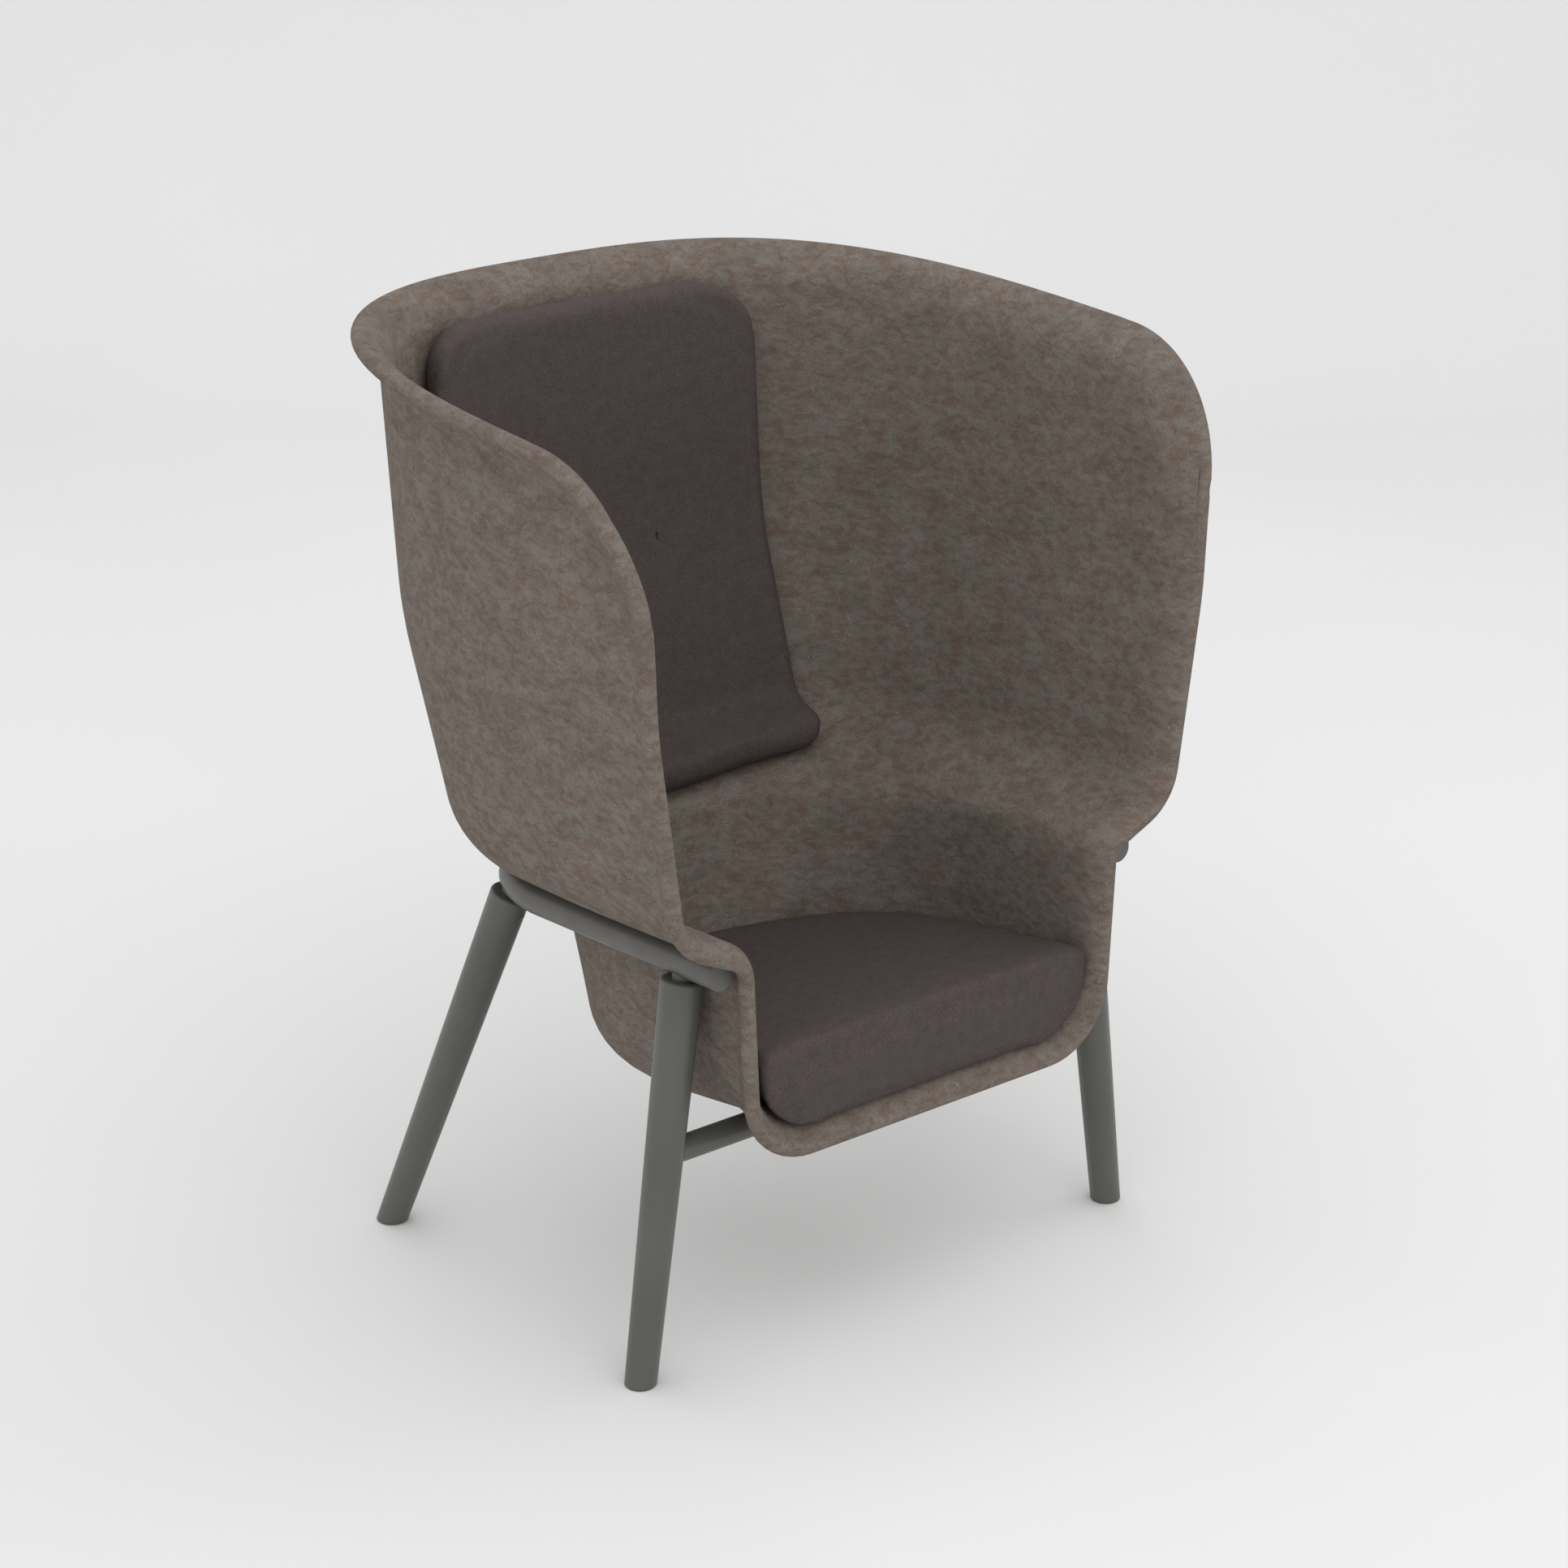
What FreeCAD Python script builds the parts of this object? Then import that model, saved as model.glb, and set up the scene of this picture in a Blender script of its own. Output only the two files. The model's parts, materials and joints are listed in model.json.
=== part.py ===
import FreeCAD, Part
import math
import os
import Sketcher

# Acoustic high back lounge chair: a moulded felt shell on a bent rail and four turned legs.
# X is to the right, Y to the back, Z up, and the floor is Z = 0 under the middle of the chair.

Vector = FreeCAD.Vector

doc = FreeCAD.newDocument("AcousticLoungeChair")
sheet = doc.addObject("Spreadsheet::Sheet", "Sizes")

# Driving dimensions in millimetres and degrees; an entry that starts with = follows from others
sizes = {
    # Places along the depth, measured forward or back from the middle of the chair
    "frontEdge": 437.5,
    "fanCentre": 217.5,
    "frontLegAhead": 337.5,
    "rearLegBehind": 251.5,
    # Felt shell
    "feltThickness": 21,
    "bucketHalfFoot": 296,
    "bucketHalfTop": 307,
    "bucketBackFoot": 56.5,
    "bucketBackTop": 163.5,
    "bucketPower": 2.35,
    "bucketFootRadius": 95,
    "bucketTopRadius": 34,
    "shoulderHalf": 408,
    "shoulderBack": 282.5,
    "shoulderAngle": 24.6,
    "shoulderRadius": 78,
    "shoulderBackRadius": 104,
    "wingHalfMiddle": 446,
    "wingBackMiddle": 365.5,
    "wingMiddleHeight": 930,
    "wingMiddleFall": 0.049,
    "wingMiddleRadius": 600,
    "wingTopOut": 10,
    "wingTopBackOut": 22,
    "wingHalfTop": "=wingHalfMiddle + wingTopOut",
    "wingBackTop": "=wingBackMiddle + wingTopBackOut",
    "wingPower": 2.95,
    "sideToeIn": 6,
    "floorSlope": 0.155,
    "floorHoleRadius": 110,
    "floorPlateLap": 40,
    "floorPlateSink": 1,
    # Rim, its outward lip and the round front corners
    "rimHeight": 1236.6,
    "rimRise": 0.064,
    "lipHeight": 54,
    "lipReach": 35,
    "rimCornerRadius": 190,
    "edgeBlendHeight": 40,
    "wingFlare": 13,
    "wingFlareRun": 45,
    "bucketFlare": 10,
    "bucketFlareRun": 28,
    "waterfallDrop": 46,
    "waterfallRun": 85,
    # Bent rail
    "railDiameter": 40,
    "railWall": 2.5,
    "railHalfWidth": 340,
    "railBack": 234.5,
    "railCornerRadius": 225,
    "railBackRadius": 400,
    "railHeight": 580,
    "railSlope": 0.065,
    "railEndInset": 22,
    "railGap": 0.8,
    "plugLip": 2.5,
    "plugDepth": 18,
    "plugClearance": 0.15,
    # Legs, spigots and glides
    "footOutset": 76.5,
    "footHalfWidth": "=railHalfWidth + footOutset",
    "rearFootExtra": 1.5,
    "footRadius": 21.4,
    "legTaper": 0.012,
    "frontLeanIn": 0.1355,
    "rearLeanIn": 0.182,
    "rearLeanAhead": 0.339,
    "frontLegTop": 556,
    "rearLegTop": 536,
    "legShoulderRadius": 5,
    "spigotDiameter": 27,
    "spigotClearance": 0.15,
    "spigotDepth": 46,
    "spigotEndGap": 3,
    "setScrewDiameter": 6,
    "setScrewDrop": 24,
    "setScrewSink": 1.5,
    "glideThickness": 2,
    "glideInset": 2.2,
    "glideStemDiameter": 8,
    "glideStemLength": 16,
    # Stretcher under the seat
    "stretcherDiameter": 34,
    "stretcherHeight": 319,
    "tenonDiameter": 20,
    "tenonDepth": 20,
    "tenonClearance": 0.15,
    "restGap": 0.3,
    # Screws through the felt
    "screwDiameter": 5,
    "screwHeadDiameter": 8.5,
    "screwHeadHeight": 5,
    "screwLength": 25,
    "screwSocket": 4,
    "screwSocketDepth": 2.5,
    "screwSink": 2.5,
    "screwClearance": 0.25,
    "nutDiameter": 7,
    "nutFlangeDiameter": 9,
    "nutFlangeThickness": 0.8,
    "nutLength": 14,
    "firstScrewAhead": 363.5,
    "secondScrewAhead": 161.5,
    "thirdScrewBehind": 20.5,
    "floorScrewHalfSpan": 170,
    # Seat cushion
    "cushionGap": 2.5,
    "seatThickness": 88,
    "seatCrown": 7,
    "seatEdgeRadius": 16,
    "seatFrontSetback": 8,
    "seatBack": 74,
    "seatBowlEase": 3,
    "coverThickness": 2,
    "stripWidth": 30,
    "stripSlack": 0.2,
    "seatStripLength": 220,
    "seatStripHalfSpan": 150,
    # Back pad
    "padSideInset": 174,
    "padHalfWidth": "=wingHalfMiddle - padSideInset",
    "padThickness": 46,
    "padCrown": 6,
    "padTopHeight": 1235,
    "padBottomRun": 111,
    "padTopCorner": 76,
    "padBottomCorner": 48,
    "padEndBulge": 15,
    "padBoardThickness": 5,
    "padBoardDepth": 6,
    "padBoardMargin": 40,
    "padStripMargin": 30,
    "padStripSetOff": 0.6,
    "padStripHalfSpan": 150,
    "padSlotHalfSpan": 98,
    "padSlotHeight": 888,
    "padSlotLength": 13,
    "padSlotWidth": 5,
    "padSlotDepth": 14,
    "padSlotWall": 0.8,
}
for row, (alias, size) in enumerate(sizes.items(), start=1):
    sheet.set("A%d" % row, alias)
    sheet.set("B%d" % row, str(size))
    sheet.setAlias("B%d" % row, alias)
doc.recompute()


def val(alias):
    # Size kept in the sheet under this alias.
    return float(sheet.get(alias))


# Values used by several pieces
felt = val("feltThickness")
frontY = -val("frontEdge")
fanY = -val("fanCentre")
legY = -val("frontLegAhead")
railRadius = val("railDiameter") / 2
beta = math.radians(val("shoulderAngle"))


# Plane geometry in a section: a point is (u, z), with u outward from the middle

def direction(start, end):
    # Unit vector from start to end.
    length = math.hypot(end[0] - start[0], end[1] - start[1])
    return ((end[0] - start[0]) / length, (end[1] - start[1]) / length)


def moved(point, along, distance):
    # Point moved by a distance along a unit vector.
    return (point[0] + along[0] * distance, point[1] + along[1] * distance)


def leftOf(along):
    # Unit vector a quarter turn to the left.
    return (-along[1], along[0])


def crossing(pointA, alongA, pointB, alongB):
    # Where two lines cross, each given by a point and a unit vector.
    cross = alongA[0] * alongB[1] - alongA[1] * alongB[0]
    reach = ((pointB[0] - pointA[0]) * alongB[1] - (pointB[1] - pointA[1]) * alongB[0]) / cross
    return moved(pointA, alongA, reach)


def offsetCorners(corners, distances):
    # Corners of a run of lines moved to the left, each line by its own distance.
    alongs = [direction(corners[i], corners[i + 1]) for i in range(len(corners) - 1)]
    starts = [moved(corners[i], leftOf(alongs[i]), distances[i]) for i in range(len(alongs))]
    result = [starts[0]]
    for i in range(1, len(alongs)):
        result.append(crossing(starts[i - 1], alongs[i - 1], starts[i], alongs[i]))
    result.append(moved(corners[-1], leftOf(alongs[-1]), distances[-1]))
    return result


def turnAt(before, corner, after):
    # Signed angle turned at a corner, positive to the left.
    first = direction(before, corner)
    second = direction(corner, after)
    return math.atan2(first[0] * second[1] - first[1] * second[0],
                      first[0] * second[0] + first[1] * second[1])


def roundedRun(corners, radii):
    # Lines and tangent arcs along corners: a list of (start, middle or None, end).
    pieces = []
    current = corners[0]
    for i in range(1, len(corners) - 1):
        turn = turnAt(corners[i - 1], corners[i], corners[i + 1])
        cut = radii[i - 1] * math.tan(abs(turn) / 2)
        start = moved(corners[i], direction(corners[i], corners[i - 1]), cut)
        end = moved(corners[i], direction(corners[i], corners[i + 1]), cut)
        side = leftOf(direction(corners[i - 1], corners[i]))
        centre = moved(start, side, math.copysign(radii[i - 1], turn))
        middle = moved(centre, direction(centre, corners[i]), radii[i - 1])
        pieces.append((current, None, start))
        pieces.append((start, middle, end))
        current = end
    pieces.append((current, None, corners[-1]))
    return pieces


def reverseRun(pieces):
    # The same lines and arcs walked the other way.
    return [(end, middle, start) for start, middle, end in reversed(pieces)]


def closedWire(pieces, place):
    # Wire in space through lines and arcs, with place turning (u, z) into a point.
    edges = []
    for start, middle, end in pieces:
        if middle is None:
            edges.append(Part.makeLine(place(start), place(end)))
        else:
            edges.append(Part.Arc(place(start), place(middle), place(end)).toShape())
    return Part.Wire(edges)


def ruledSolid(wires):
    # Solid through closed wires, straight from each to the next.
    solid = Part.makeLoft(wires, True, True)
    if solid.Volume < 0:
        solid.reverse()
    return solid


def mirrored(shape):
    # The shape seen in the X = 0 plane.
    return shape.mirror(Vector(0, 0, 0), Vector(1, 0, 0))


# Heights that the shell takes from what carries it

def railCentreHeight(y):
    # Centre height of the rail, which falls towards the back.
    return val("railHeight") - val("railSlope") * (y - legY)


def floorMiddle(y):
    # Middle of the felt floor, resting on the stretcher and falling towards the back.
    rest = val("stretcherHeight") + val("stretcherDiameter") / 2 + val("restGap") + felt / 2
    return rest - val("floorSlope") * (y - legY)


def easeIn(y, run):
    # Share of a flare: 0 at the run's start, growing with the square, 1 at the front edge.
    return max(0.0, (frontY + run - y) / run) ** 2


def easeSlope(y, run):
    # How fast that share grows towards the front, per millimetre.
    return 2 * max(0.0, (frontY + run - y) / run) / run


# Rail centre line in plan: straight sides, corner arcs and one long arc across the back
railCornerX = val("railHalfWidth") - val("railCornerRadius")
railArcCentre = val("railBack") - val("railBackRadius")
railSideEnd = railArcCentre + math.sqrt(
    (val("railBackRadius") - val("railCornerRadius")) ** 2 - railCornerX ** 2)
railBlend = math.atan2(railSideEnd - railArcCentre, railCornerX)
railEndY = frontY + val("railEndInset")


def circleReach(alpha, centreX, centreY, radius):
    # Distance from the fan centre, along alpha, to the far side of a circle.
    along = centreX * math.cos(alpha) + (centreY - fanY) * math.sin(alpha)
    gap = centreX ** 2 + (centreY - fanY) ** 2 - radius ** 2
    return along + math.sqrt(along ** 2 - gap)


def railReach(alpha):
    # Distance from the fan centre to the rail's centre line along alpha.
    side = val("railHalfWidth") / max(math.cos(alpha), 1e-6)
    if fanY + side * math.sin(alpha) <= railSideEnd:
        return side
    corner = circleReach(alpha, railCornerX, railSideEnd, val("railCornerRadius"))
    turned = math.atan2(fanY + corner * math.sin(alpha) - railSideEnd,
                        corner * math.cos(alpha) - railCornerX)
    if turned <= railBlend:
        return corner
    return circleReach(alpha, 0, railArcCentre, val("railBackRadius"))


# Felt shell: the middle of the felt in each section

def superReach(alpha, half, back, power):
    # Distance to a superellipse from the fan centre along alpha.
    depth = back - fanY
    total = (math.cos(alpha) / half) ** power + (math.sin(alpha) / depth) ** power
    return total ** (-1 / power)


def obliquity(alpha, half, back, power):
    # How much longer a wall's thickness is along alpha than square to the wall.
    step = 0.001
    near = superReach(max(alpha - step, 0), half, back, power)
    far = superReach(min(alpha + step, math.pi / 2), half, back, power)
    slope = (far - near) / (min(alpha + step, math.pi / 2) - max(alpha - step, 0))
    return math.hypot(1, slope / superReach(alpha, half, back, power))


def rimLevel(y):
    # Height of the rim's middle line, with its round front corner.
    level = val("rimHeight") + val("rimRise") * (y - frontY)
    corner = frontY + val("rimCornerRadius")
    if y >= corner:
        return level
    top = val("rimHeight") + val("rimRise") * val("rimCornerRadius")
    radius = val("rimCornerRadius")
    return top - radius + math.sqrt(max(0.0, radius ** 2 - (corner - y) ** 2))


def lipFoot(y):
    # Height at which the wall starts to bend out into the lip.
    corner = frontY + val("rimCornerRadius")
    if y >= corner:
        return rimLevel(y) - val("lipHeight")
    centreHeight = rimLevel(corner) - val("rimCornerRadius")
    inner = val("rimCornerRadius") - val("lipHeight")
    if corner - y < inner:
        return centreHeight + math.sqrt(inner ** 2 - (corner - y) ** 2)
    return centreHeight - val("edgeBlendHeight") * (corner - y - inner) / val("lipHeight")


def lipOffset(y):
    # How far the lip leans out past the wall of the section.
    corner = frontY + val("rimCornerRadius")
    if y >= corner:
        return val("lipReach")
    share = math.sqrt(max(0.0, 1 - ((corner - y) / val("rimCornerRadius")) ** 2))
    total = val("wingFlare") + (val("lipReach") - val("wingFlare")) * share
    return max(0.5, total - val("wingFlare") * easeIn(y, val("wingFlareRun")))


def frontSection(y):
    # Corners, half thicknesses and lip of the section across the chair at y.
    toe = val("sideToeIn") * ((fanY - y) / (fanY - frontY)) ** 2
    floor = floorMiddle(y)
    railY = max(y, railEndY)
    line = railCentreHeight(railY) + (railRadius + val("railGap") + felt / 2) / math.cos(beta)

    def shoulder(u):
        return line + (u - val("railHalfWidth")) * math.tan(beta)

    top = lipFoot(y)
    share = (top - val("wingMiddleHeight")) / (lipFoot(fanY) - val("wingMiddleHeight"))
    topHalf = val("wingHalfMiddle") + (val("wingHalfTop") - val("wingHalfMiddle")) * share
    corners = [
        (val("floorHoleRadius"), floor),
        (val("bucketHalfFoot") - toe, floor),
        (val("bucketHalfTop") - toe, shoulder(val("bucketHalfTop") - toe)),
        (val("shoulderHalf") - toe, shoulder(val("shoulderHalf") - toe)),
        (val("wingHalfMiddle") - toe, val("wingMiddleHeight")),
        (topHalf - toe, top),
    ]
    wing = -val("wingFlare") * easeIn(y, val("wingFlareRun"))
    bucket = -val("bucketFlare") * easeIn(y, val("bucketFlareRun"))
    fall = -val("waterfallDrop") * easeIn(y, val("waterfallRun"))
    corners = offsetCorners(corners, [fall, bucket, bucket, wing, wing])
    corners[0] = (val("floorHoleRadius"), corners[0][1])
    wingSlope = val("wingFlare") * easeSlope(y, val("wingFlareRun"))
    fallSlope = val("waterfallDrop") * easeSlope(y, val("waterfallRun")) - val("floorSlope")
    wingHalf = felt / 2 * math.hypot(1, wingSlope)
    bucketHalf = felt / 2 * math.hypot(1, val("bucketFlare") * easeSlope(y, val("bucketFlareRun")))
    halves = [felt / 2 * math.hypot(1, fallSlope), bucketHalf, bucketHalf, wingHalf, wingHalf]
    return corners, halves, (rimLevel(y) - top, lipOffset(y))


def fanSection(alpha):
    # Corners, half thicknesses and lip of the upright section along alpha.
    sine = math.sin(alpha)

    def reach(name, power):
        half = {"foot": "bucketHalfFoot", "bucket": "bucketHalfTop", "shoulder": "shoulderHalf",
                "middle": "wingHalfMiddle", "top": "wingHalfTop"}[name]
        back = {"foot": "bucketBackFoot", "bucket": "bucketBackTop", "shoulder": "shoulderBack",
                "middle": "wingBackMiddle", "top": "wingBackTop"}[name]
        return superReach(alpha, val(half), val(back), val(power))

    foot = reach("foot", "bucketPower")
    bucket = reach("bucket", "bucketPower")
    shoulder = reach("shoulder", "wingPower")
    middle = reach("middle", "wingPower")
    top = reach("top", "wingPower")
    rail = railReach(alpha)
    thick = obliquity(alpha, val("wingHalfMiddle"), val("wingBackMiddle"), val("wingPower"))
    support = math.hypot(railRadius * math.sin(beta) * thick, railRadius * math.cos(beta))
    clear = (support + val("railGap") + felt / 2) / math.cos(beta)
    line = railCentreHeight(fanY + rail * sine) + clear

    def onShoulder(u):
        return line + (u - rail) * math.tan(beta)

    middleY = fanY + middle * sine
    topY = fanY + top * sine
    corners = [
        (val("floorHoleRadius"), floorMiddle(fanY + val("floorHoleRadius") * sine)),
        (foot, floorMiddle(fanY + foot * sine)),
        (bucket, onShoulder(bucket)),
        (shoulder, onShoulder(shoulder)),
        (middle, val("wingMiddleHeight") - val("wingMiddleFall") * (middleY - fanY)),
        (top, rimLevel(topY) - val("lipHeight")),
    ]
    wall = felt / 2 * thick
    halves = [felt / 2, wall, felt / 2, wall, wall]
    return corners, halves, (val("lipHeight"), val("lipReach") * thick)


def shoulderBend(alpha):
    # Radius of the bend from the shoulder into the wing, which opens out towards the back.
    share = math.sin(alpha) ** 2
    return val("shoulderRadius") + (val("shoulderBackRadius") - val("shoulderRadius")) * share


def skinRadii(corners, shifts, alpha):
    # Corner radii of a skin that lies the given shifts to the left of the middle.
    cornerRadii = [val("bucketFootRadius"), val("bucketTopRadius"), shoulderBend(alpha),
                   val("wingMiddleRadius")]
    result = []
    for i in range(4):
        turn = turnAt(corners[i], corners[i + 1], corners[i + 2])
        shift = (shifts[i] + shifts[i + 1]) / 2
        result.append(cornerRadii[i] - math.copysign(1, turn) * shift)
    return result


def skinRun(corners, shifts, alpha):
    # Rounded run of a skin of the shell, from the floor to the foot of the lip.
    moves = offsetCorners(corners, shifts)
    moves[0] = crossing(moves[0], direction(moves[0], moves[1]), (corners[0][0], 0), (0, 1))
    return roundedRun(moves, skinRadii(corners, shifts, alpha))


def shellWire(section, alpha, place):
    # Closed outline of the felt in one section.
    corners, halves, (lipRise, lipOut) = section
    outer = skinRun(corners, [-half for half in halves], alpha)
    inner = skinRun(corners, halves, alpha)
    along = direction(corners[-2], corners[-1])
    outward = (along[1], -along[0])
    angle = 2 * math.atan2(lipOut, lipRise)
    radius = (lipOut ** 2 + lipRise ** 2) / (2 * lipOut)
    centre = moved(corners[-1], outward, radius)

    def onLip(turned, distance):
        share = moved(centre, outward, -distance * math.cos(turned))
        return moved(share, along, distance * math.sin(turned))

    half = halves[-1]
    outerLip = (outer[-1][2], onLip(angle / 2, radius - half), onLip(angle, radius - half))
    innerLip = (inner[-1][2], onLip(angle / 2, radius + half), onLip(angle, radius + half))
    tip = onLip(angle, radius)
    spoke = direction(centre, tip)
    forward = (-spoke[1], spoke[0]) if leftOf(spoke)[0] > 0 else (spoke[1], -spoke[0])
    crest = moved(tip, forward, half)
    quarter = half / math.sqrt(2)
    lower = moved(moved(tip, forward, quarter), spoke, -quarter)
    upper = moved(moved(tip, forward, quarter), spoke, quarter)
    rim = [(outerLip[2], lower, crest), (crest, upper, innerLip[2])]
    ends = [(inner[0][0], None, outer[0][0])]
    return closedWire(outer + [outerLip] + rim + reverseRun(inner + [innerLip]) + ends, place)


frontSteps = [0, 5, 13, 25, 45, 77, 120, 155, 190, 220]
fanCount = 20


def acrossAt(y):
    # Placement of a section across the chair.
    return lambda point: Vector(point[0], y, point[1])


def alongAngle(alpha):
    # Placement of an upright section turned about the fan centre.
    return lambda point: Vector(point[0] * math.cos(alpha), fanY + point[0] * math.sin(alpha), point[1])


frontShare = (fanY - frontY) / frontSteps[-1]
frontPlaces = [frontY + step * frontShare for step in frontSteps]
fanAngles = [math.pi / 2 * i / fanCount for i in range(1, fanCount + 1)]
shellWires = [shellWire(frontSection(y), 0, acrossAt(y)) for y in frontPlaces]
shellWires += [shellWire(fanSection(alpha), alpha, alongAngle(alpha)) for alpha in fanAngles]
shellHalf = ruledSolid(shellWires)


def floorPlate():
    # Middle of the shell's floor, let into the rest of the floor all round.
    lap = val("floorHoleRadius") + val("floorPlateLap")
    sink = val("floorPlateSink")
    wires = []
    places = [frontY + sink] + frontPlaces[1:]
    places += [fanY + lap * share for share in (0.3, 0.55, 0.75, 0.9)]
    for y in places:
        corners, halves, lip = frontSection(min(y, fanY))
        half = halves[0] - sink
        middle = corners[0][1] if y <= fanY else floorMiddle(y)
        reach = lap if y <= fanY else math.sqrt(lap ** 2 - (y - fanY) ** 2)
        points = [(-reach, middle - half), (reach, middle - half), (reach, middle + half),
                  (-reach, middle + half)]
        run = [(points[i], None, points[(i + 1) % 4]) for i in range(4)]
        wires.append(closedWire(run, acrossAt(y)))
    return ruledSolid(wires)


# Screw places: each screw stands square to the shoulder and points at the rail's centre line
def shoulderPlacement(x, y):
    # Placement at the rail's centre line, with Z square to the felt of the shoulder.
    side = math.copysign(1, x)
    if y <= railSideEnd:
        centre = Vector(side * val("railHalfWidth"), y, railCentreHeight(y))
        outward = Vector(side, 0, 0)
    else:
        reach = math.sqrt(val("railCornerRadius") ** 2 - (y - railSideEnd) ** 2)
        centre = Vector(side * (railCornerX + reach), y, railCentreHeight(y))
        outward = Vector(side * reach, y - railSideEnd, 0).normalize()
    lean = Vector(0, 0, 1) * math.cos(beta) - outward * math.sin(beta)
    return FreeCAD.Placement(centre, FreeCAD.Rotation(Vector(0, 0, 1), lean))


screwRows = [-val("firstScrewAhead"), -val("secondScrewAhead"), val("thirdScrewBehind")]
screwPlaces = [shoulderPlacement(side, y) for side in (-1, 1) for y in screwRows]


# Helpers for turned, swept and bored pieces
nodes = []


def node(item, name):
    # Names a finished sub-part and puts it on the list of pieces
    item.Label = name
    nodes.append(item)
    return item


def planeOf(body, role):
    # Origin plane of a body, such as XZ_Plane
    return next(item for item in body.Origin.OriginFeatures if item.Role == role)


def sketchOn(body, role, name):
    # Empty sketch on one of the body's own origin planes
    sketch = body.newObject("Sketcher::SketchObject", name)
    sketch.AttachmentSupport = (planeOf(body, role), [""])
    sketch.MapMode = "FlatFace"
    return sketch


def tieCoordinate(sketch, kind, place, expression):
    # Ties one coordinate of a sketch point, or of an arc's centre, to the sheet
    number = float(sketch.evalExpression(expression))
    axis = -2 if kind == "DistanceX" else -1
    if abs(number) < 1e-9:
        sketch.addConstraint(Sketcher.Constraint("PointOnObject", place[0], place[1], axis))
    elif number > 0:
        index = sketch.addConstraint(Sketcher.Constraint(kind, -1, 1, place[0], place[1], number))
        sketch.setExpression("Constraints[%d]" % index, expression)
    else:
        index = sketch.addConstraint(Sketcher.Constraint(kind, place[0], place[1], -1, 1, -number))
        sketch.setExpression("Constraints[%d]" % index, "-(%s)" % expression)


def turnedBody(name, outline):
    # Body turned about Z from corners given as pairs of expressions: radius and height
    body = doc.addObject("PartDesign::Body", name)
    sketch = sketchOn(body, "XZ_Plane", name + "Profile")
    points = []
    for radius, height in outline:
        points.append(Vector(float(sheet.evalExpression(radius)), float(sheet.evalExpression(height)), 0))
    count = len(points)
    for i in range(count):
        sketch.addGeometry(Part.LineSegment(points[i], points[(i + 1) % count]), False)
    for i in range(count):
        sketch.addConstraint(Sketcher.Constraint("Coincident", i, 2, (i + 1) % count, 1))
        tieCoordinate(sketch, "DistanceX", (i, 1), outline[i][0])
        tieCoordinate(sketch, "DistanceY", (i, 1), outline[i][1])
    turned = body.newObject("PartDesign::Revolution", name + "Turned")
    turned.Profile = sketch
    turned.ReferenceAxis = (sketch, ["V_Axis"])
    turned.Angle = 360
    doc.recompute()
    return body


def cylinder(name, radius, height, placement):
    # Cylinder with its radius tied to the sheet, and its height tied too or worked out from the sheet
    item = doc.addObject("Part::Cylinder", name)
    item.setExpression("Radius", radius)
    if isinstance(height, str):
        item.setExpression("Height", height)
    else:
        item.Height = height
    item.Placement = placement
    return item


def joined(name, items):
    # One fused object from several
    item = doc.addObject("Part::MultiFuse", name)
    item.Shapes = items
    return item


def bored(name, base, tools):
    # The base with the tools taken away
    item = doc.addObject("Part::Cut", name)
    item.Base = base
    item.Tool = tools[0] if len(tools) == 1 else joined(name + "Tools", tools)
    return item


def shapeNode(name, shape):
    # Sub-part whose shape is made by the functions above
    item = doc.addObject("Part::Feature", name)
    item.Shape = shape
    item.Placement = FreeCAD.Placement()
    return node(item, name)


def copies(body, places):
    # The body's solid repeated at each placement
    shapes = []
    for place in places:
        shape = body.Shape.copy()
        shape.Placement = place.multiply(shape.Placement)
        shapes.append(shape)
    return Part.makeCompound(shapes)


def lifted(place, height):
    # The placement moved along its own Z
    return place.multiply(FreeCAD.Placement(Vector(0, 0, height), FreeCAD.Rotation()))


# Bent rail, swept in its own plane, which falls towards the back

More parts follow.
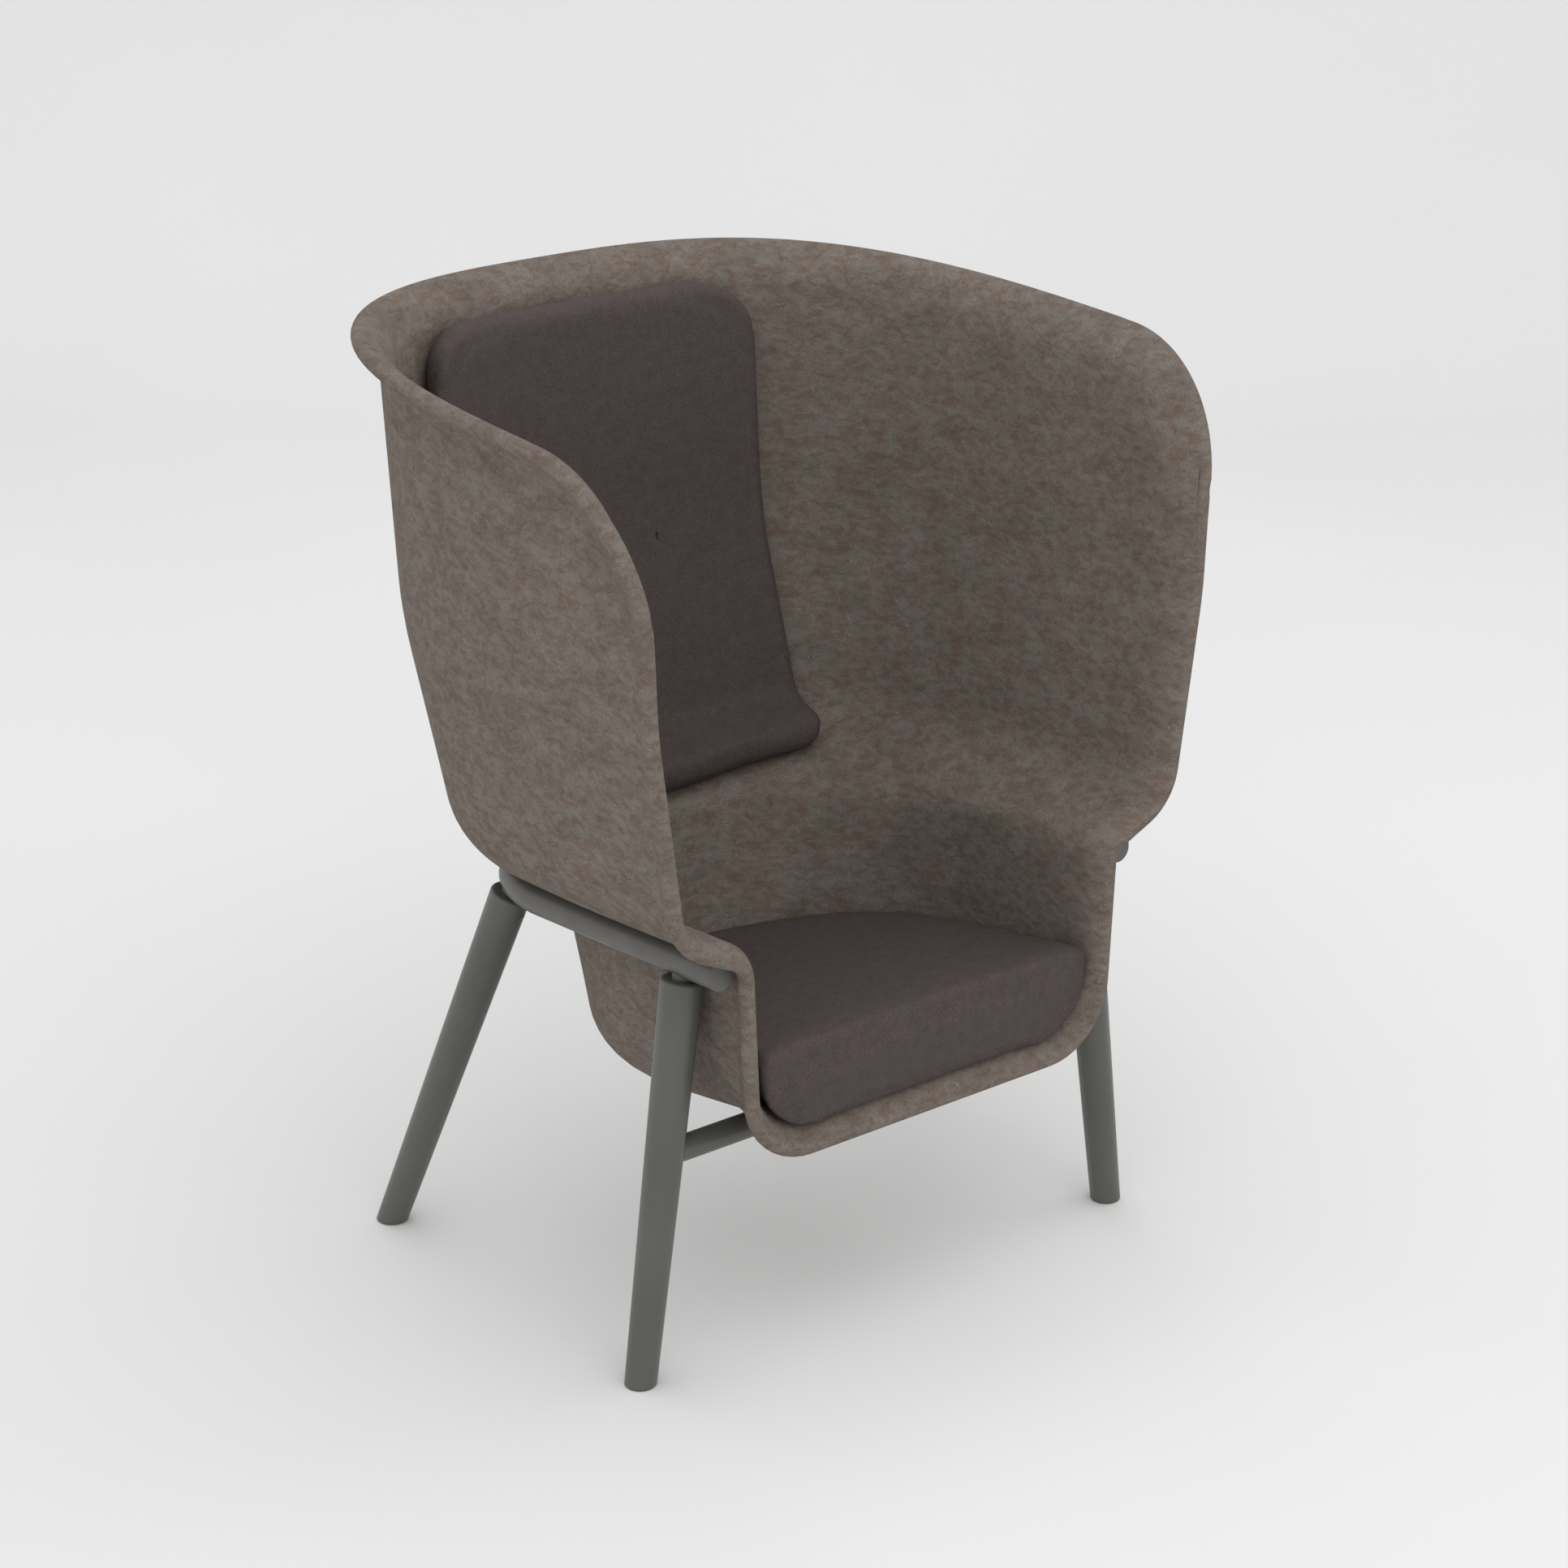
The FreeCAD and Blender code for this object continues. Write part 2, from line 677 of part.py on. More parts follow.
def railBody(name, radii):
    # Sweep of circles along the rail, from the left end round the back to the right end
    body = doc.addObject("PartDesign::Body", name)
    half = val("railHalfWidth")
    start = railEndY + val("plugLip")
    side = railSideEnd - start
    corner = val("railCornerRadius")
    back = val("railBackRadius")
    path = sketchOn(body, "XY_Plane", name + "Path")
    cornerX = railCornerX
    path.addGeometry(Part.LineSegment(Vector(-half, 0, 0), Vector(-half, side, 0)), False)
    leftCorner = Part.Circle(Vector(-cornerX, side, 0), Vector(0, 0, 1), corner)
    path.addGeometry(Part.ArcOfCircle(leftCorner, math.pi - railBlend, math.pi), False)
    backCircle = Part.Circle(Vector(0, railArcCentre - start, 0), Vector(0, 0, 1), back)
    path.addGeometry(Part.ArcOfCircle(backCircle, railBlend, math.pi - railBlend), False)
    rightCorner = Part.Circle(Vector(cornerX, side, 0), Vector(0, 0, 1), corner)
    path.addGeometry(Part.ArcOfCircle(rightCorner, 0, railBlend), False)
    path.addGeometry(Part.LineSegment(Vector(half, side, 0), Vector(half, 0, 0)), False)
    for first, end, second, start2 in ((0, 2, 1, 2), (1, 1, 2, 2), (2, 1, 3, 2), (3, 1, 4, 1)):
        path.addConstraint(Sketcher.Constraint("Tangent", first, end, second, start2))
    path.addConstraint(Sketcher.Constraint("Vertical", 0))
    path.addConstraint(Sketcher.Constraint("Vertical", 4))
    path.addConstraint(Sketcher.Constraint("PointOnObject", 0, 1, -1))
    path.addConstraint(Sketcher.Constraint("PointOnObject", 4, 2, -1))
    path.addConstraint(Sketcher.Constraint("PointOnObject", 2, 3, -2))
    tieCoordinate(path, "DistanceX", (0, 1), "-Sizes.railHalfWidth")
    tieCoordinate(path, "DistanceX", (4, 2), "Sizes.railHalfWidth")
    tieCoordinate(path, "DistanceY", (2, 3), "Sizes.railBack - Sizes.railBackRadius + Sizes.frontEdge"
                  " - Sizes.railEndInset - Sizes.plugLip")
    for arc, alias in ((1, "railCornerRadius"), (3, "railCornerRadius"), (2, "railBackRadius")):
        index = path.addConstraint(Sketcher.Constraint("Radius", arc, val(alias)))
        path.setExpression("Constraints[%d]" % index, "Sizes." + alias)
    profile = sketchOn(body, "XZ_Plane", name + "Profile")
    for radius in radii:
        centre = Vector(-half, 0, 0)
        size = float(profile.evalExpression(radius))
        ring = profile.addGeometry(Part.Circle(centre, Vector(0, 0, 1), size), False)
        tieCoordinate(profile, "DistanceX", (ring, 3), "-Sizes.railHalfWidth")
        profile.addConstraint(Sketcher.Constraint("PointOnObject", ring, 3, -1))
        index = profile.addConstraint(Sketcher.Constraint("Radius", ring, size))
        profile.setExpression("Constraints[%d]" % index, radius)
    sweep = body.newObject("PartDesign::AdditivePipe", name + "Sweep")
    sweep.Profile = profile
    sweep.Spine = (path, ["Edge1", "Edge2", "Edge3", "Edge4", "Edge5"])
    doc.recompute()
    tilt = math.degrees(math.atan(val("railSlope")))
    body.Placement = FreeCAD.Placement(Vector(0, start, railCentreHeight(start)),
                                       FreeCAD.Rotation(Vector(1, 0, 0), -tilt))
    return body


# Felt shell with its screw holes
feltScrewBase = railRadius + val("railGap") + felt - val("screwSink") - val("screwHeadHeight")
floorScrewBase = val("stretcherDiameter") / 2 + val("restGap") + felt - val("screwSink") - val("screwHeadHeight")
floorTilt = FreeCAD.Rotation(Vector(0, 0, 1), Vector(0, val("floorSlope"), 1))
floorScrewPlaces = [
    FreeCAD.Placement(Vector(side * val("floorScrewHalfSpan"), legY, val("stretcherHeight")), floorTilt)
    for side in (-1, 1)]


def screwHole(place, base):
    # Clearance hole and head recess of one screw, along the Z of its placement
    hole = val("screwDiameter") / 2 + val("screwClearance")
    recess = val("screwHeadDiameter") / 2 + val("screwClearance")
    shank = Part.makeCylinder(hole, base, Vector(0, 0, 0))
    head = Part.makeCylinder(recess, 2 * felt, Vector(0, 0, base))
    tool = shank.fuse(head)
    tool.Placement = place
    return tool


holes = [screwHole(place, feltScrewBase) for place in screwPlaces]
holes += [screwHole(place, floorScrewBase) for place in floorScrewPlaces]
shellSolid = shellHalf.fuse([mirrored(shellHalf), floorPlate()]).cut(holes)
shapeNode("shell", shellSolid)

# Rail tube, its nuts' holes and its end plugs
nutBarrel = "Sizes.nutDiameter / 2"
tubeInner = "Sizes.railDiameter / 2 - Sizes.railWall"
tubeBody = railBody("RailSweptTube", ["Sizes.railDiameter / 2", tubeInner])
rodBody = railBody("RailOutline", ["Sizes.railDiameter / 2"])
nutHoles = [cylinder("NutHole%d" % i, nutBarrel, "Sizes.railDiameter", place)
            for i, place in enumerate(screwPlaces)]
node(bored("RailTube", tubeBody, nutHoles), "rail_tube")

for side, word in ((-1, "left"), (1, "right")):
    plug = turnedBody("Plug" + word, [
        ("0", "0"),
        ("Sizes.railDiameter / 2", "0"),
        ("Sizes.railDiameter / 2", "Sizes.plugLip"),
        (tubeInner + " - Sizes.plugClearance", "Sizes.plugLip"),
        (tubeInner + " - Sizes.plugClearance", "Sizes.plugDepth"),
        ("0", "Sizes.plugDepth"),
    ])
    alongRail = Vector(0, 1, -val("railSlope"))
    plug.Placement = FreeCAD.Placement(
        Vector(side * val("railHalfWidth"), railEndY, railCentreHeight(railEndY)),
        FreeCAD.Rotation(Vector(0, 0, 1), alongRail))
    node(plug, "rail_end_plug_" + word)


# Legs: turned cones that lean in to the rail, cut level at the floor and bored for what they hold

def legPlacement(side, front):
    # Placement of a leg with Z along it and X towards its lean, and the length per height
    if front:
        base = Vector(side * val("footHalfWidth"), legY, 0)
        along = Vector(-side * val("frontLeanIn"), 0, 1)
    else:
        base = Vector(side * (val("footHalfWidth") + val("rearFootExtra")), val("rearLegBehind"), 0)
        along = Vector(-side * val("rearLeanIn"), -val("rearLeanAhead"), 1)
    lean = Vector(along.x, along.y, 0).normalize()
    turn = FreeCAD.Rotation(lean, Vector(0, 0, 1).cross(lean), along, "ZXY")
    return FreeCAD.Placement(base, turn), along.Length


def spigotReach(side, front):
    # Distance up the leg's axis to the height of the rail's centre line
    place, stretch = legPlacement(side, front)
    along = place.Rotation.multVec(Vector(0, 0, 1))
    fall = val("railSlope") * along.y + along.z
    return (railCentreHeight(place.Base.y) - place.Base.z) / fall


legs = [(side, front) for front in (True, False) for side in (-1, 1)]
legNames = ["front_left", "front_right", "rear_left", "rear_right"]
stretchFront = "sqrt(1 + Sizes.frontLeanIn ^ 2)"
stretchRear = "sqrt(1 + Sizes.rearLeanIn ^ 2 + Sizes.rearLeanAhead ^ 2)"
legBodies = {}
spigots = {}
setScrews = []
legTools = {}
for (side, front), word in zip(legs, legNames):
    place, stretch = legPlacement(side, front)
    top = "Sizes.frontLegTop * " + stretchFront if front else "Sizes.rearLegTop * " + stretchRear
    bore = "Sizes.spigotDiameter / 2 + Sizes.spigotClearance"
    skirt = "2 * Sizes.footRadius"
    body = turnedBody("Cone_" + word, [
        ("0", "-" + skirt),
        ("Sizes.footRadius - %s * Sizes.legTaper" % skirt, "-" + skirt),
        ("Sizes.footRadius + %s * Sizes.legTaper" % top, top),
        (bore, top),
        (bore, top + " - Sizes.spigotDepth"),
        ("0", top + " - Sizes.spigotDepth"),
    ])
    topSize = float(sheet.evalExpression(top))
    edges = [i for i, edge in enumerate(body.Shape.Edges, start=1)
             if isinstance(edge.Curve, Part.Circle) and abs(edge.Curve.Center.z - topSize) < 0.01]
    outermost = max(edges, key=lambda i: body.Shape.Edges[i - 1].Curve.Radius)
    turned = body.Tip
    shoulder = body.newObject("PartDesign::Fillet", "Shoulder_" + word)
    shoulder.Base = (turned, ["Edge%d" % outermost])
    shoulder.setExpression("Radius", "Sizes.legShoulderRadius")
    doc.recompute()
    body.Placement = place
    legBodies[word] = body

    floorBox = doc.addObject("Part::Box", "Floor_" + word)
    for prop in ("Length", "Width"):
        floorBox.setExpression(prop, "6 * Sizes.footRadius")
    floorBox.setExpression("Height", "3 * Sizes.footRadius + Sizes.glideThickness")
    corner = -3 * val("footRadius")
    floorBox.Placement.Base = place.Base + Vector(corner, corner, corner)
    stem = cylinder("Stem_" + word, "Sizes.glideStemDiameter / 2",
                    "Sizes.glideThickness + Sizes.glideStemLength", FreeCAD.Placement(place.Base, FreeCAD.Rotation()))
    screwHeight = topSize - val("setScrewDrop")
    screwStart = val("spigotDiameter") / 2
    screwPlace = place.multiply(FreeCAD.Placement(Vector(screwStart, 0, screwHeight),
                                                  FreeCAD.Rotation(Vector(0, 0, 1), Vector(1, 0, 0))))
    hole = cylinder("SetScrewHole_" + word, "Sizes.setScrewDiameter / 2", "2 * Sizes.footRadius", screwPlace)
    legTools[word] = [floorBox, stem, hole]
    setScrews.append(cylinder("SetScrew_" + word, "Sizes.setScrewDiameter / 2",
                              "Sizes.footRadius + Sizes.legTaper * (%s - Sizes.setScrewDrop)"
                              " - Sizes.spigotDiameter / 2 - Sizes.setScrewSink" % top, screwPlace))
    start = topSize - val("spigotDepth") + val("spigotEndGap")
    rod = cylinder("Spigot_" + word, "Sizes.spigotDiameter / 2",
                   spigotReach(side, front) - start, lifted(place, start))
    spigots[word] = bored("SpigotCut_" + word, rod, [rodBody])

# Stretcher between the front legs, with round tenons let into them
legAcross = val("footHalfWidth") - val("frontLeanIn") * val("stretcherHeight")
legThere = val("footRadius") + val("legTaper") * val("stretcherHeight")
acrossTurn = FreeCAD.Rotation(Vector(0, 0, 1), Vector(1, 0, 0))


def acrossRod(name, radius, halfLength):
    # Round bar along X at the stretcher's place
    place = FreeCAD.Placement(Vector(-halfLength, legY, val("stretcherHeight")), acrossTurn)
    return cylinder(name, radius, 2 * halfLength, place)


bar = acrossRod("StretcherBar", "Sizes.stretcherDiameter / 2", legAcross)
tenon = acrossRod("StretcherTenon", "Sizes.tenonDiameter / 2", legAcross - legThere + val("tenonDepth"))
tenonHole = acrossRod("TenonHole", "Sizes.tenonDiameter / 2 + Sizes.tenonClearance",
                      legAcross - legThere + val("tenonDepth") + 1)
barCut = bored("StretcherShoulders", bar, [legBodies["front_left"], legBodies["front_right"]])
tapped = [cylinder("FloorScrewHole%d" % i, "Sizes.screwDiameter / 2", "Sizes.stretcherDiameter", place)
          for i, place in enumerate(floorScrewPlaces)]
for word in legNames:
    tools = legTools[word] + ([tenonHole] if "front" in word else [])
    node(bored("Leg_" + word, legBodies[word], tools), "leg_" + word)
node(bored("Stretcher", joined("StretcherWhole", [barCut, tenon]), tapped), "front_stretcher")


def group(name, items):
    # Several separate solids of one kind in one sub-part
    item = doc.addObject("Part::Compound", name)
    item.Links = items
    return node(item, name)


group("front_leg_spigots", [spigots["front_left"], spigots["front_right"]])
group("rear_leg_spigots", [spigots["rear_left"], spigots["rear_right"]])
group("leg_set_screws", setScrews)

# Glides under the feet
for (side, front), word in zip(legs, legNames):
    glide = turnedBody("Glide_" + word, [
        ("0", "0"),
        ("Sizes.footRadius - Sizes.glideInset", "0"),
        ("Sizes.footRadius - Sizes.glideInset", "Sizes.glideThickness"),
        ("Sizes.glideStemDiameter / 2", "Sizes.glideThickness"),
        ("Sizes.glideStemDiameter / 2", "Sizes.glideThickness + Sizes.glideStemLength"),
        ("0", "Sizes.glideThickness + Sizes.glideStemLength"),
    ])
    glide.Placement = FreeCAD.Placement(legPlacement(side, front)[0].Base, FreeCAD.Rotation())
    node(glide, "foot_glide_" + word)

# Socket screw and threaded nut, each made once and repeated
screwBody = turnedBody("SocketScrew", [
    ("0", "-Sizes.screwLength"),
    ("Sizes.screwDiameter / 2", "-Sizes.screwLength"),
    ("Sizes.screwDiameter / 2", "0"),
    ("Sizes.screwHeadDiameter / 2", "0"),
    ("Sizes.screwHeadDiameter / 2", "Sizes.screwHeadHeight"),
    ("0", "Sizes.screwHeadHeight"),
])
socket = doc.addObject("Part::Prism", "Socket")
socket.Polygon = 6
socket.setExpression("Circumradius", "Sizes.screwSocket / sqrt(3)")
socket.setExpression("Height", "Sizes.screwSocketDepth + 1")
socket.setExpression("Placement.Base.z", "Sizes.screwHeadHeight - Sizes.screwSocketDepth")
socketScrew = bored("SocketScrewCut", screwBody, [socket])
nutBody = turnedBody("RivetNut", [
    ("Sizes.screwDiameter / 2", "-Sizes.nutLength"),
    (nutBarrel, "-Sizes.nutLength"),
    (nutBarrel, "0"),
    ("Sizes.nutFlangeDiameter / 2", "0"),
    ("Sizes.nutFlangeDiameter / 2", "Sizes.nutFlangeThickness"),
    ("Sizes.screwDiameter / 2", "Sizes.nutFlangeThickness"),
])
doc.recompute()
shapeNode("shell_screws", copies(socketScrew, [lifted(place, feltScrewBase) for place in screwPlaces]))
shapeNode("rail_rivet_nuts", copies(nutBody, [lifted(place, railRadius) for place in screwPlaces]))
shapeNode("floor_screws", copies(socketScrew, [lifted(place, floorScrewBase) for place in floorScrewPlaces]))


# Seat cushion: sections across the bucket, clear of the felt all round

def heightOn(run, u):
    # Height of the skin above the place u, on the floor or the arc after it
    start, middle, end = run[1]
    if u <= start[0]:
        return run[0][0][1] + (run[0][2][1] - run[0][0][1]) * (u - run[0][0][0]) / (start[0] - run[0][0][0])
    centre, radius = circleThrough(start, middle, end)
    if u < end[0]:
        return centre[1] - math.sqrt(radius ** 2 - (u - centre[0]) ** 2)
    wallStart, unused, wallEnd = run[2]
    return wallStart[1] + (wallEnd[1] - wallStart[1]) * (u - wallStart[0]) / (wallEnd[0] - wallStart[0])


def reachOn(run, z):
    # Place u of the skin at a height z, on the first arc or the wall after it
    start, middle, end = run[1]
    if z <= start[1]:
        return start[0]
    centre, radius = circleThrough(start, middle, end)
    if z < end[1]:
        return centre[0] + math.sqrt(max(0.0, radius ** 2 - (z - centre[1]) ** 2))
    wallStart, unused, wallEnd = run[2]
    return wallStart[0] + (wallEnd[0] - wallStart[0]) * (z - wallStart[1]) / (wallEnd[1] - wallStart[1])


def circleThrough(start, middle, end):
    # Centre and radius of the circle through three points
    half = moved(start, direction(start, middle), math.dist(start, middle) / 2)
    other = moved(middle, direction(middle, end), math.dist(middle, end) / 2)
    centre = crossing(half, leftOf(direction(start, middle)), other, leftOf(direction(middle, end)))
    return centre, math.dist(centre, start)


def bucketSkin(section, alpha, gap):
    # Inner skin of the bucket, moved in by a gap
    corners, halves, lip = section
    return skinRun(corners, [half + gap for half in halves], alpha)


def bowlHalf(y, z, gap):
    # Half width of the bucket behind the fan centre, at depth y and height z
    low, high = 0.0, math.pi / 2
    for step in range(40):
        alpha = (low + high) / 2
        reach = reachOn(bucketSkin(fanSection(alpha), alpha, gap), z)
        if reach * math.sin(alpha) < y - fanY:
            low = alpha
        else:
            high = alpha
    return reach * math.cos(alpha)


def tangentMiddle(start, end):
    # Middle of the arc that leaves start level and rises to end
    rise = end[1] - start[1]
    radius = ((end[0] - start[0]) ** 2 + rise ** 2) / (2 * rise)
    half = math.asin((end[0] - start[0]) / radius) / 2
    return (start[0] + radius * math.sin(half), start[1] + radius * (1 - math.cos(half)))


def seatTop(y):
    # Height of the cushion's top edge, parallel to the floor
    return floorMiddle(y) + felt / 2 + val("cushionGap") + val("seatThickness")


def seatWire(y, shrink, cover):
    # Closed section of the cushion at y, smaller all round by a shrink, and less high by a cover
    gap = val("cushionGap") + cover
    top = seatTop(y) - shrink - cover
    if y <= fanY:
        run = bucketSkin(frontSection(y), 0, gap)
        low = run[0][2][1]
        edge = val("seatEdgeRadius")
        side = top - edge
        foot = run[1][0][0]
        middle = run[1][1]
        shoulder = run[1][2]
        wide = reachOn(run, side)
    else:
        gap += val("seatBowlEase")
        low = heightOn(bucketSkin(fanSection(math.pi / 2), math.pi / 2, gap), y - fanY)
        edge = min(val("seatEdgeRadius"), 0.4 * (top - low))
        side = top - edge
        foot = bowlHalf(y, low + 1, gap)
        bend = low + 0.6 * (side - low)
        shoulder = (bowlHalf(y, bend, gap), bend)
        middle = tangentMiddle((foot, low), shoulder)
        wide = bowlHalf(y, side, gap)
    foot -= shrink
    middle = (middle[0] - shrink, middle[1])
    shoulder = (shoulder[0] - shrink, shoulder[1])
    wide -= shrink
    quarter = edge * (1 - math.sqrt(0.5))
    right = [
        ((foot, low), middle, shoulder),
        (shoulder, None, (wide, side)),
        ((wide, side), (wide - quarter, top - quarter), (wide - edge, top)),
    ]
    crown = val("seatCrown") * (1 - shrink / (2 * val("seatEdgeRadius")))
    across = [((wide - edge, top), (0, top + crown), (edge - wide, top))]
    left = [((-end[0], end[1]), (-mid[0], mid[1]) if mid else None, (-start[0], start[1]))
            for start, mid, end in reversed(right)]
    base = [((-foot, low), None, (foot, low))]
    return closedWire(base + right + across + left, acrossAt(y))


def seatSolid(cover):
    # The cushion, or its inside within a cover
    front = frontY + val("seatFrontSetback")
    back = val("seatBack")
    places = [(front + cover, 7), (front + 3, 2.5), (front + 9, 0)]
    places += [(y, 0) for y in frontPlaces if y > front + 12]
    places += [(fanY + (back - fanY) * share, 0) for share in (0.16, 0.32, 0.48, 0.62, 0.74, 0.84, 0.91, 0.96)]
    places += [(back - cover, 3)]
    return ruledSolid([seatWire(y, shrink, cover) for y, shrink in places])


seatInside = seatSolid(val("coverThickness"))
shapeNode("seat_foam", seatInside)
shapeNode("seat_cover", seatSolid(0).cut(seatInside))


def tiltedBox(length, width, thickness, x, y):
    # Flat strip lying on the felt floor, centred at x and y
    box = Part.makeBox(length, width, thickness, Vector(-length / 2, -width / 2, 0))
    rest = Vector(x, y, floorMiddle(y)) + floorTilt.multVec(Vector(0, 0, felt / 2))
    box.Placement = FreeCAD.Placement(rest, floorTilt)
    return box


stripThickness = val("cushionGap") - val("stripSlack")
seatStrips = [tiltedBox(val("stripWidth"), val("seatStripLength"), stripThickness,
                        side * val("seatStripHalfSpan"), fanY + val("seatStripLength") / 4)
              for side in (-1, 1)]
shapeNode("seat_grip_strips", Part.makeCompound(seatStrips))


# Back pad: upright sections along the depth, each at one place across the chair

def superDepth(x, half, back, power):
    # Distance behind the fan centre of a superellipse at x
    return (back - fanY) * (1 - (abs(x) / half) ** power) ** (1 / power)


def wallCorners(x):
    # Corners of the middle of the felt in the plane at x, as (behind the fan centre, height)
    corners = []
    for i, (half, back, power) in enumerate((
            ("bucketHalfTop", "bucketBackTop", "bucketPower"),
            ("shoulderHalf", "shoulderBack", "wingPower"),
            ("wingHalfMiddle", "wingBackMiddle", "wingPower"),
            ("wingHalfTop", "wingBackTop", "wingPower")), start=2):
        depth = superDepth(x, val(half), val(back), val(power))
        section = fanSection(math.atan2(depth, abs(x)))
        corners.append((depth, section[0][i][1]))
    return corners


def padSlant(x):
    # How much longer the pad's thickness is along the depth than square to the wall
    step = 0.5
    half, back, power = val("wingHalfMiddle"), val("wingBackMiddle"), val("wingPower")
    change = superDepth(abs(x) + step, half, back, power) - superDepth(abs(x) - step, half, back, power)
    return math.hypot(1, change / (2 * step)) if abs(x) > step else 1.0


def padTrim(x, corner):
    # How much a rounded corner of the pad shortens it at x
    past = max(0.0, abs(x) - (val("padHalfWidth") - corner))
    return corner - math.sqrt(corner ** 2 - past ** 2)


def padWire(x, near, far, margin, bulge):
    # Closed section at x between two distances from the felt, shorter at each end by a margin
    corners = wallCorners(x)
    slant = padSlant(x)
    bend = shoulderBend(math.atan2(corners[1][0], abs(x)))
    low = direction(corners[1], corners[0])
    high = direction(corners[2], corners[3])
    run = val("padBottomRun") - padTrim(x, val("padBottomCorner")) - margin
    rise = (val("padTopHeight") - padTrim(x, val("padTopCorner")) - margin - corners[2][1]) / high[1]
    path = [moved(corners[1], low, run), corners[1], corners[2], moved(corners[2], high, rise)]

    def skin(distance):
        shifts = [felt / 2 + distance] + [(felt / 2 + distance) * slant] * 2
        radii = [bend - shifts[1], val("wingMiddleRadius") - shifts[1]]
        return roundedRun(offsetCorners(path, shifts), radii)

    back = skin(near)
    front = skin(far)
    ends = []
    for first, second, outward in ((back[-1][2], front[-1][2], high), (front[0][0], back[0][0], low)):
        if bulge:
            centre = ((first[0] + second[0]) / 2, (first[1] + second[1]) / 2)
            ends.append((first, moved(centre, outward, bulge), second))
        else:
            ends.append((first, None, second))
    pieces = back + [ends[0]] + reverseRun(front) + [ends[1]]
    return closedWire(pieces, lambda point: Vector(x, fanY + point[0], point[1]))


def padSolid(inset):
    # The pad, or its inside within a cover of this thickness
    half = val("padHalfWidth")
    shares = [(half, 0.3), (half - 5, 0.68), (half - 14, 0.93), (half - 26, 1), (half - 48, 1),
              (half - 76, 1), (150, 1), (100, 1), (50, 1), (0, 1)]
    wires = []
    for place, share in shares:
        x = max(place - inset, 0)
        crown = val("padCrown") * (1 - (place / half) ** 2)
        middle = (val("padThickness") + crown) / 2
        spread = middle * share - inset
        near = val("cushionGap") + middle - spread
        far = val("cushionGap") + middle + spread
        wires.append((x, near, far, max(4.0, val("padEndBulge") * share - inset / 2)))
    wires += [(-x, near, far, bulge) for x, near, far, bulge in reversed(wires[:-1])]
    return ruledSolid([padWire(x, near, far, inset, bulge) for x, near, far, bulge in wires])


def padBand(low, high, near, far, margin):
    # Band along the wall between two places across the chair, with square ends
    count = 6
    places = [low + (high - low) * i / count for i in range(count + 1)]
    return ruledSolid([padWire(x, near, far, margin, 0) for x in places])


def slotPlacement(side):
    # Placement on the pad's front face, with Z out of the pad and Y up
    x = side * val("padSlotHalfSpan")
    corners = wallCorners(x)
    up = direction(corners[1], corners[2])
    crown = val("padCrown") * (1 - (x / val("padHalfWidth")) ** 2)
    distance = (felt / 2 + val("cushionGap") + val("padThickness") + crown) * padSlant(x)
    rise = (val("padSlotHeight") - corners[1][1]) / up[1]
    face = moved(moved(corners[1], up, rise), leftOf(up), distance)
    depthSlope = (superDepth(x + 1, val("wingHalfMiddle"), val("wingBackMiddle"), val("wingPower"))
                  - superDepth(x - 1, val("wingHalfMiddle"), val("wingBackMiddle"), val("wingPower"))) / 2
    upward = Vector(0, up[0], up[1])
    across = Vector(1, depthSlope, 0).normalize()
    outward = across.cross(upward).normalize()
    return FreeCAD.Placement(Vector(x, fanY + face[0], face[1]),
                             FreeCAD.Rotation(across, upward, outward, "ZYX"))


def slotShape(side, shrink, low, high):
    # Rounded slot between two heights on the face's normal
    radius = val("padSlotWidth") / 2 - shrink
    reach = (val("padSlotLength") - val("padSlotWidth")) / 2
    run = [((-radius, -reach), None, (-radius, reach)),
           ((-radius, reach), (0, reach + radius), (radius, reach)),
           ((radius, reach), None, (radius, -reach)),
           ((radius, -reach), (0, -reach - radius), (-radius, -reach))]
    wire = closedWire(run, lambda point: Vector(point[0], point[1], low))
    solid = Part.Face(wire).extrude(Vector(0, 0, high - low))
    solid.Placement = slotPlacement(side)
    return solid


slotDepth = val("padSlotDepth")
slotTools = [slotShape(side, 0, -slotDepth, slotDepth) for side in (-1, 1)]
slotLiners = [slotShape(side, 0, -slotDepth, -val("coverThickness")).cut(
    slotShape(side, val("padSlotWall"), val("padSlotWall") - slotDepth, 0)) for side in (-1, 1)]
padInside = padSolid(val("coverThickness"))
padCover = padSolid(0).cut([padInside] + slotTools)
boardNear = val("cushionGap") + val("padBoardDepth")
boardHalf = val("padHalfWidth") - val("padBoardMargin")
padBoard = padBand(-boardHalf, boardHalf, boardNear, boardNear + val("padBoardThickness"), val("padBoardMargin"))
shapeNode("back_pad_cover", padCover)
shapeNode("back_pad_foam", padInside.cut([padBoard] + slotTools))
shapeNode("back_pad_board", padBoard)
shapeNode("back_pad_slot_liners", Part.makeCompound(slotLiners))
padStrips = [padBand(side * val("padStripHalfSpan") - val("stripWidth") / 2,
                     side * val("padStripHalfSpan") + val("stripWidth") / 2,
                     val("padStripSetOff"), val("cushionGap") - val("stripSlack"),
                     val("padStripMargin")) for side in (-1, 1)]
shapeNode("back_pad_grip_strips", Part.makeCompound(padStrips))
doc.recompute()

# Every object and every piece is checked before anything is written
for item in doc.Objects:
    if "Invalid" in item.State or "Error" in item.State:
        raise RuntimeError("%s could not be built" % item.Label)
os.makedirs("parts", exist_ok=True)
for item in nodes:
    if item.Shape.isNull() or not item.Shape.isValid():
        raise RuntimeError("%s has no valid shape" % item.Label)
for item in nodes:
    item.Shape.exportStep("parts/%s.step" % item.Label)
    print(item.Label, len(item.Shape.Solids), round(item.Shape.Volume / 1000, 1))
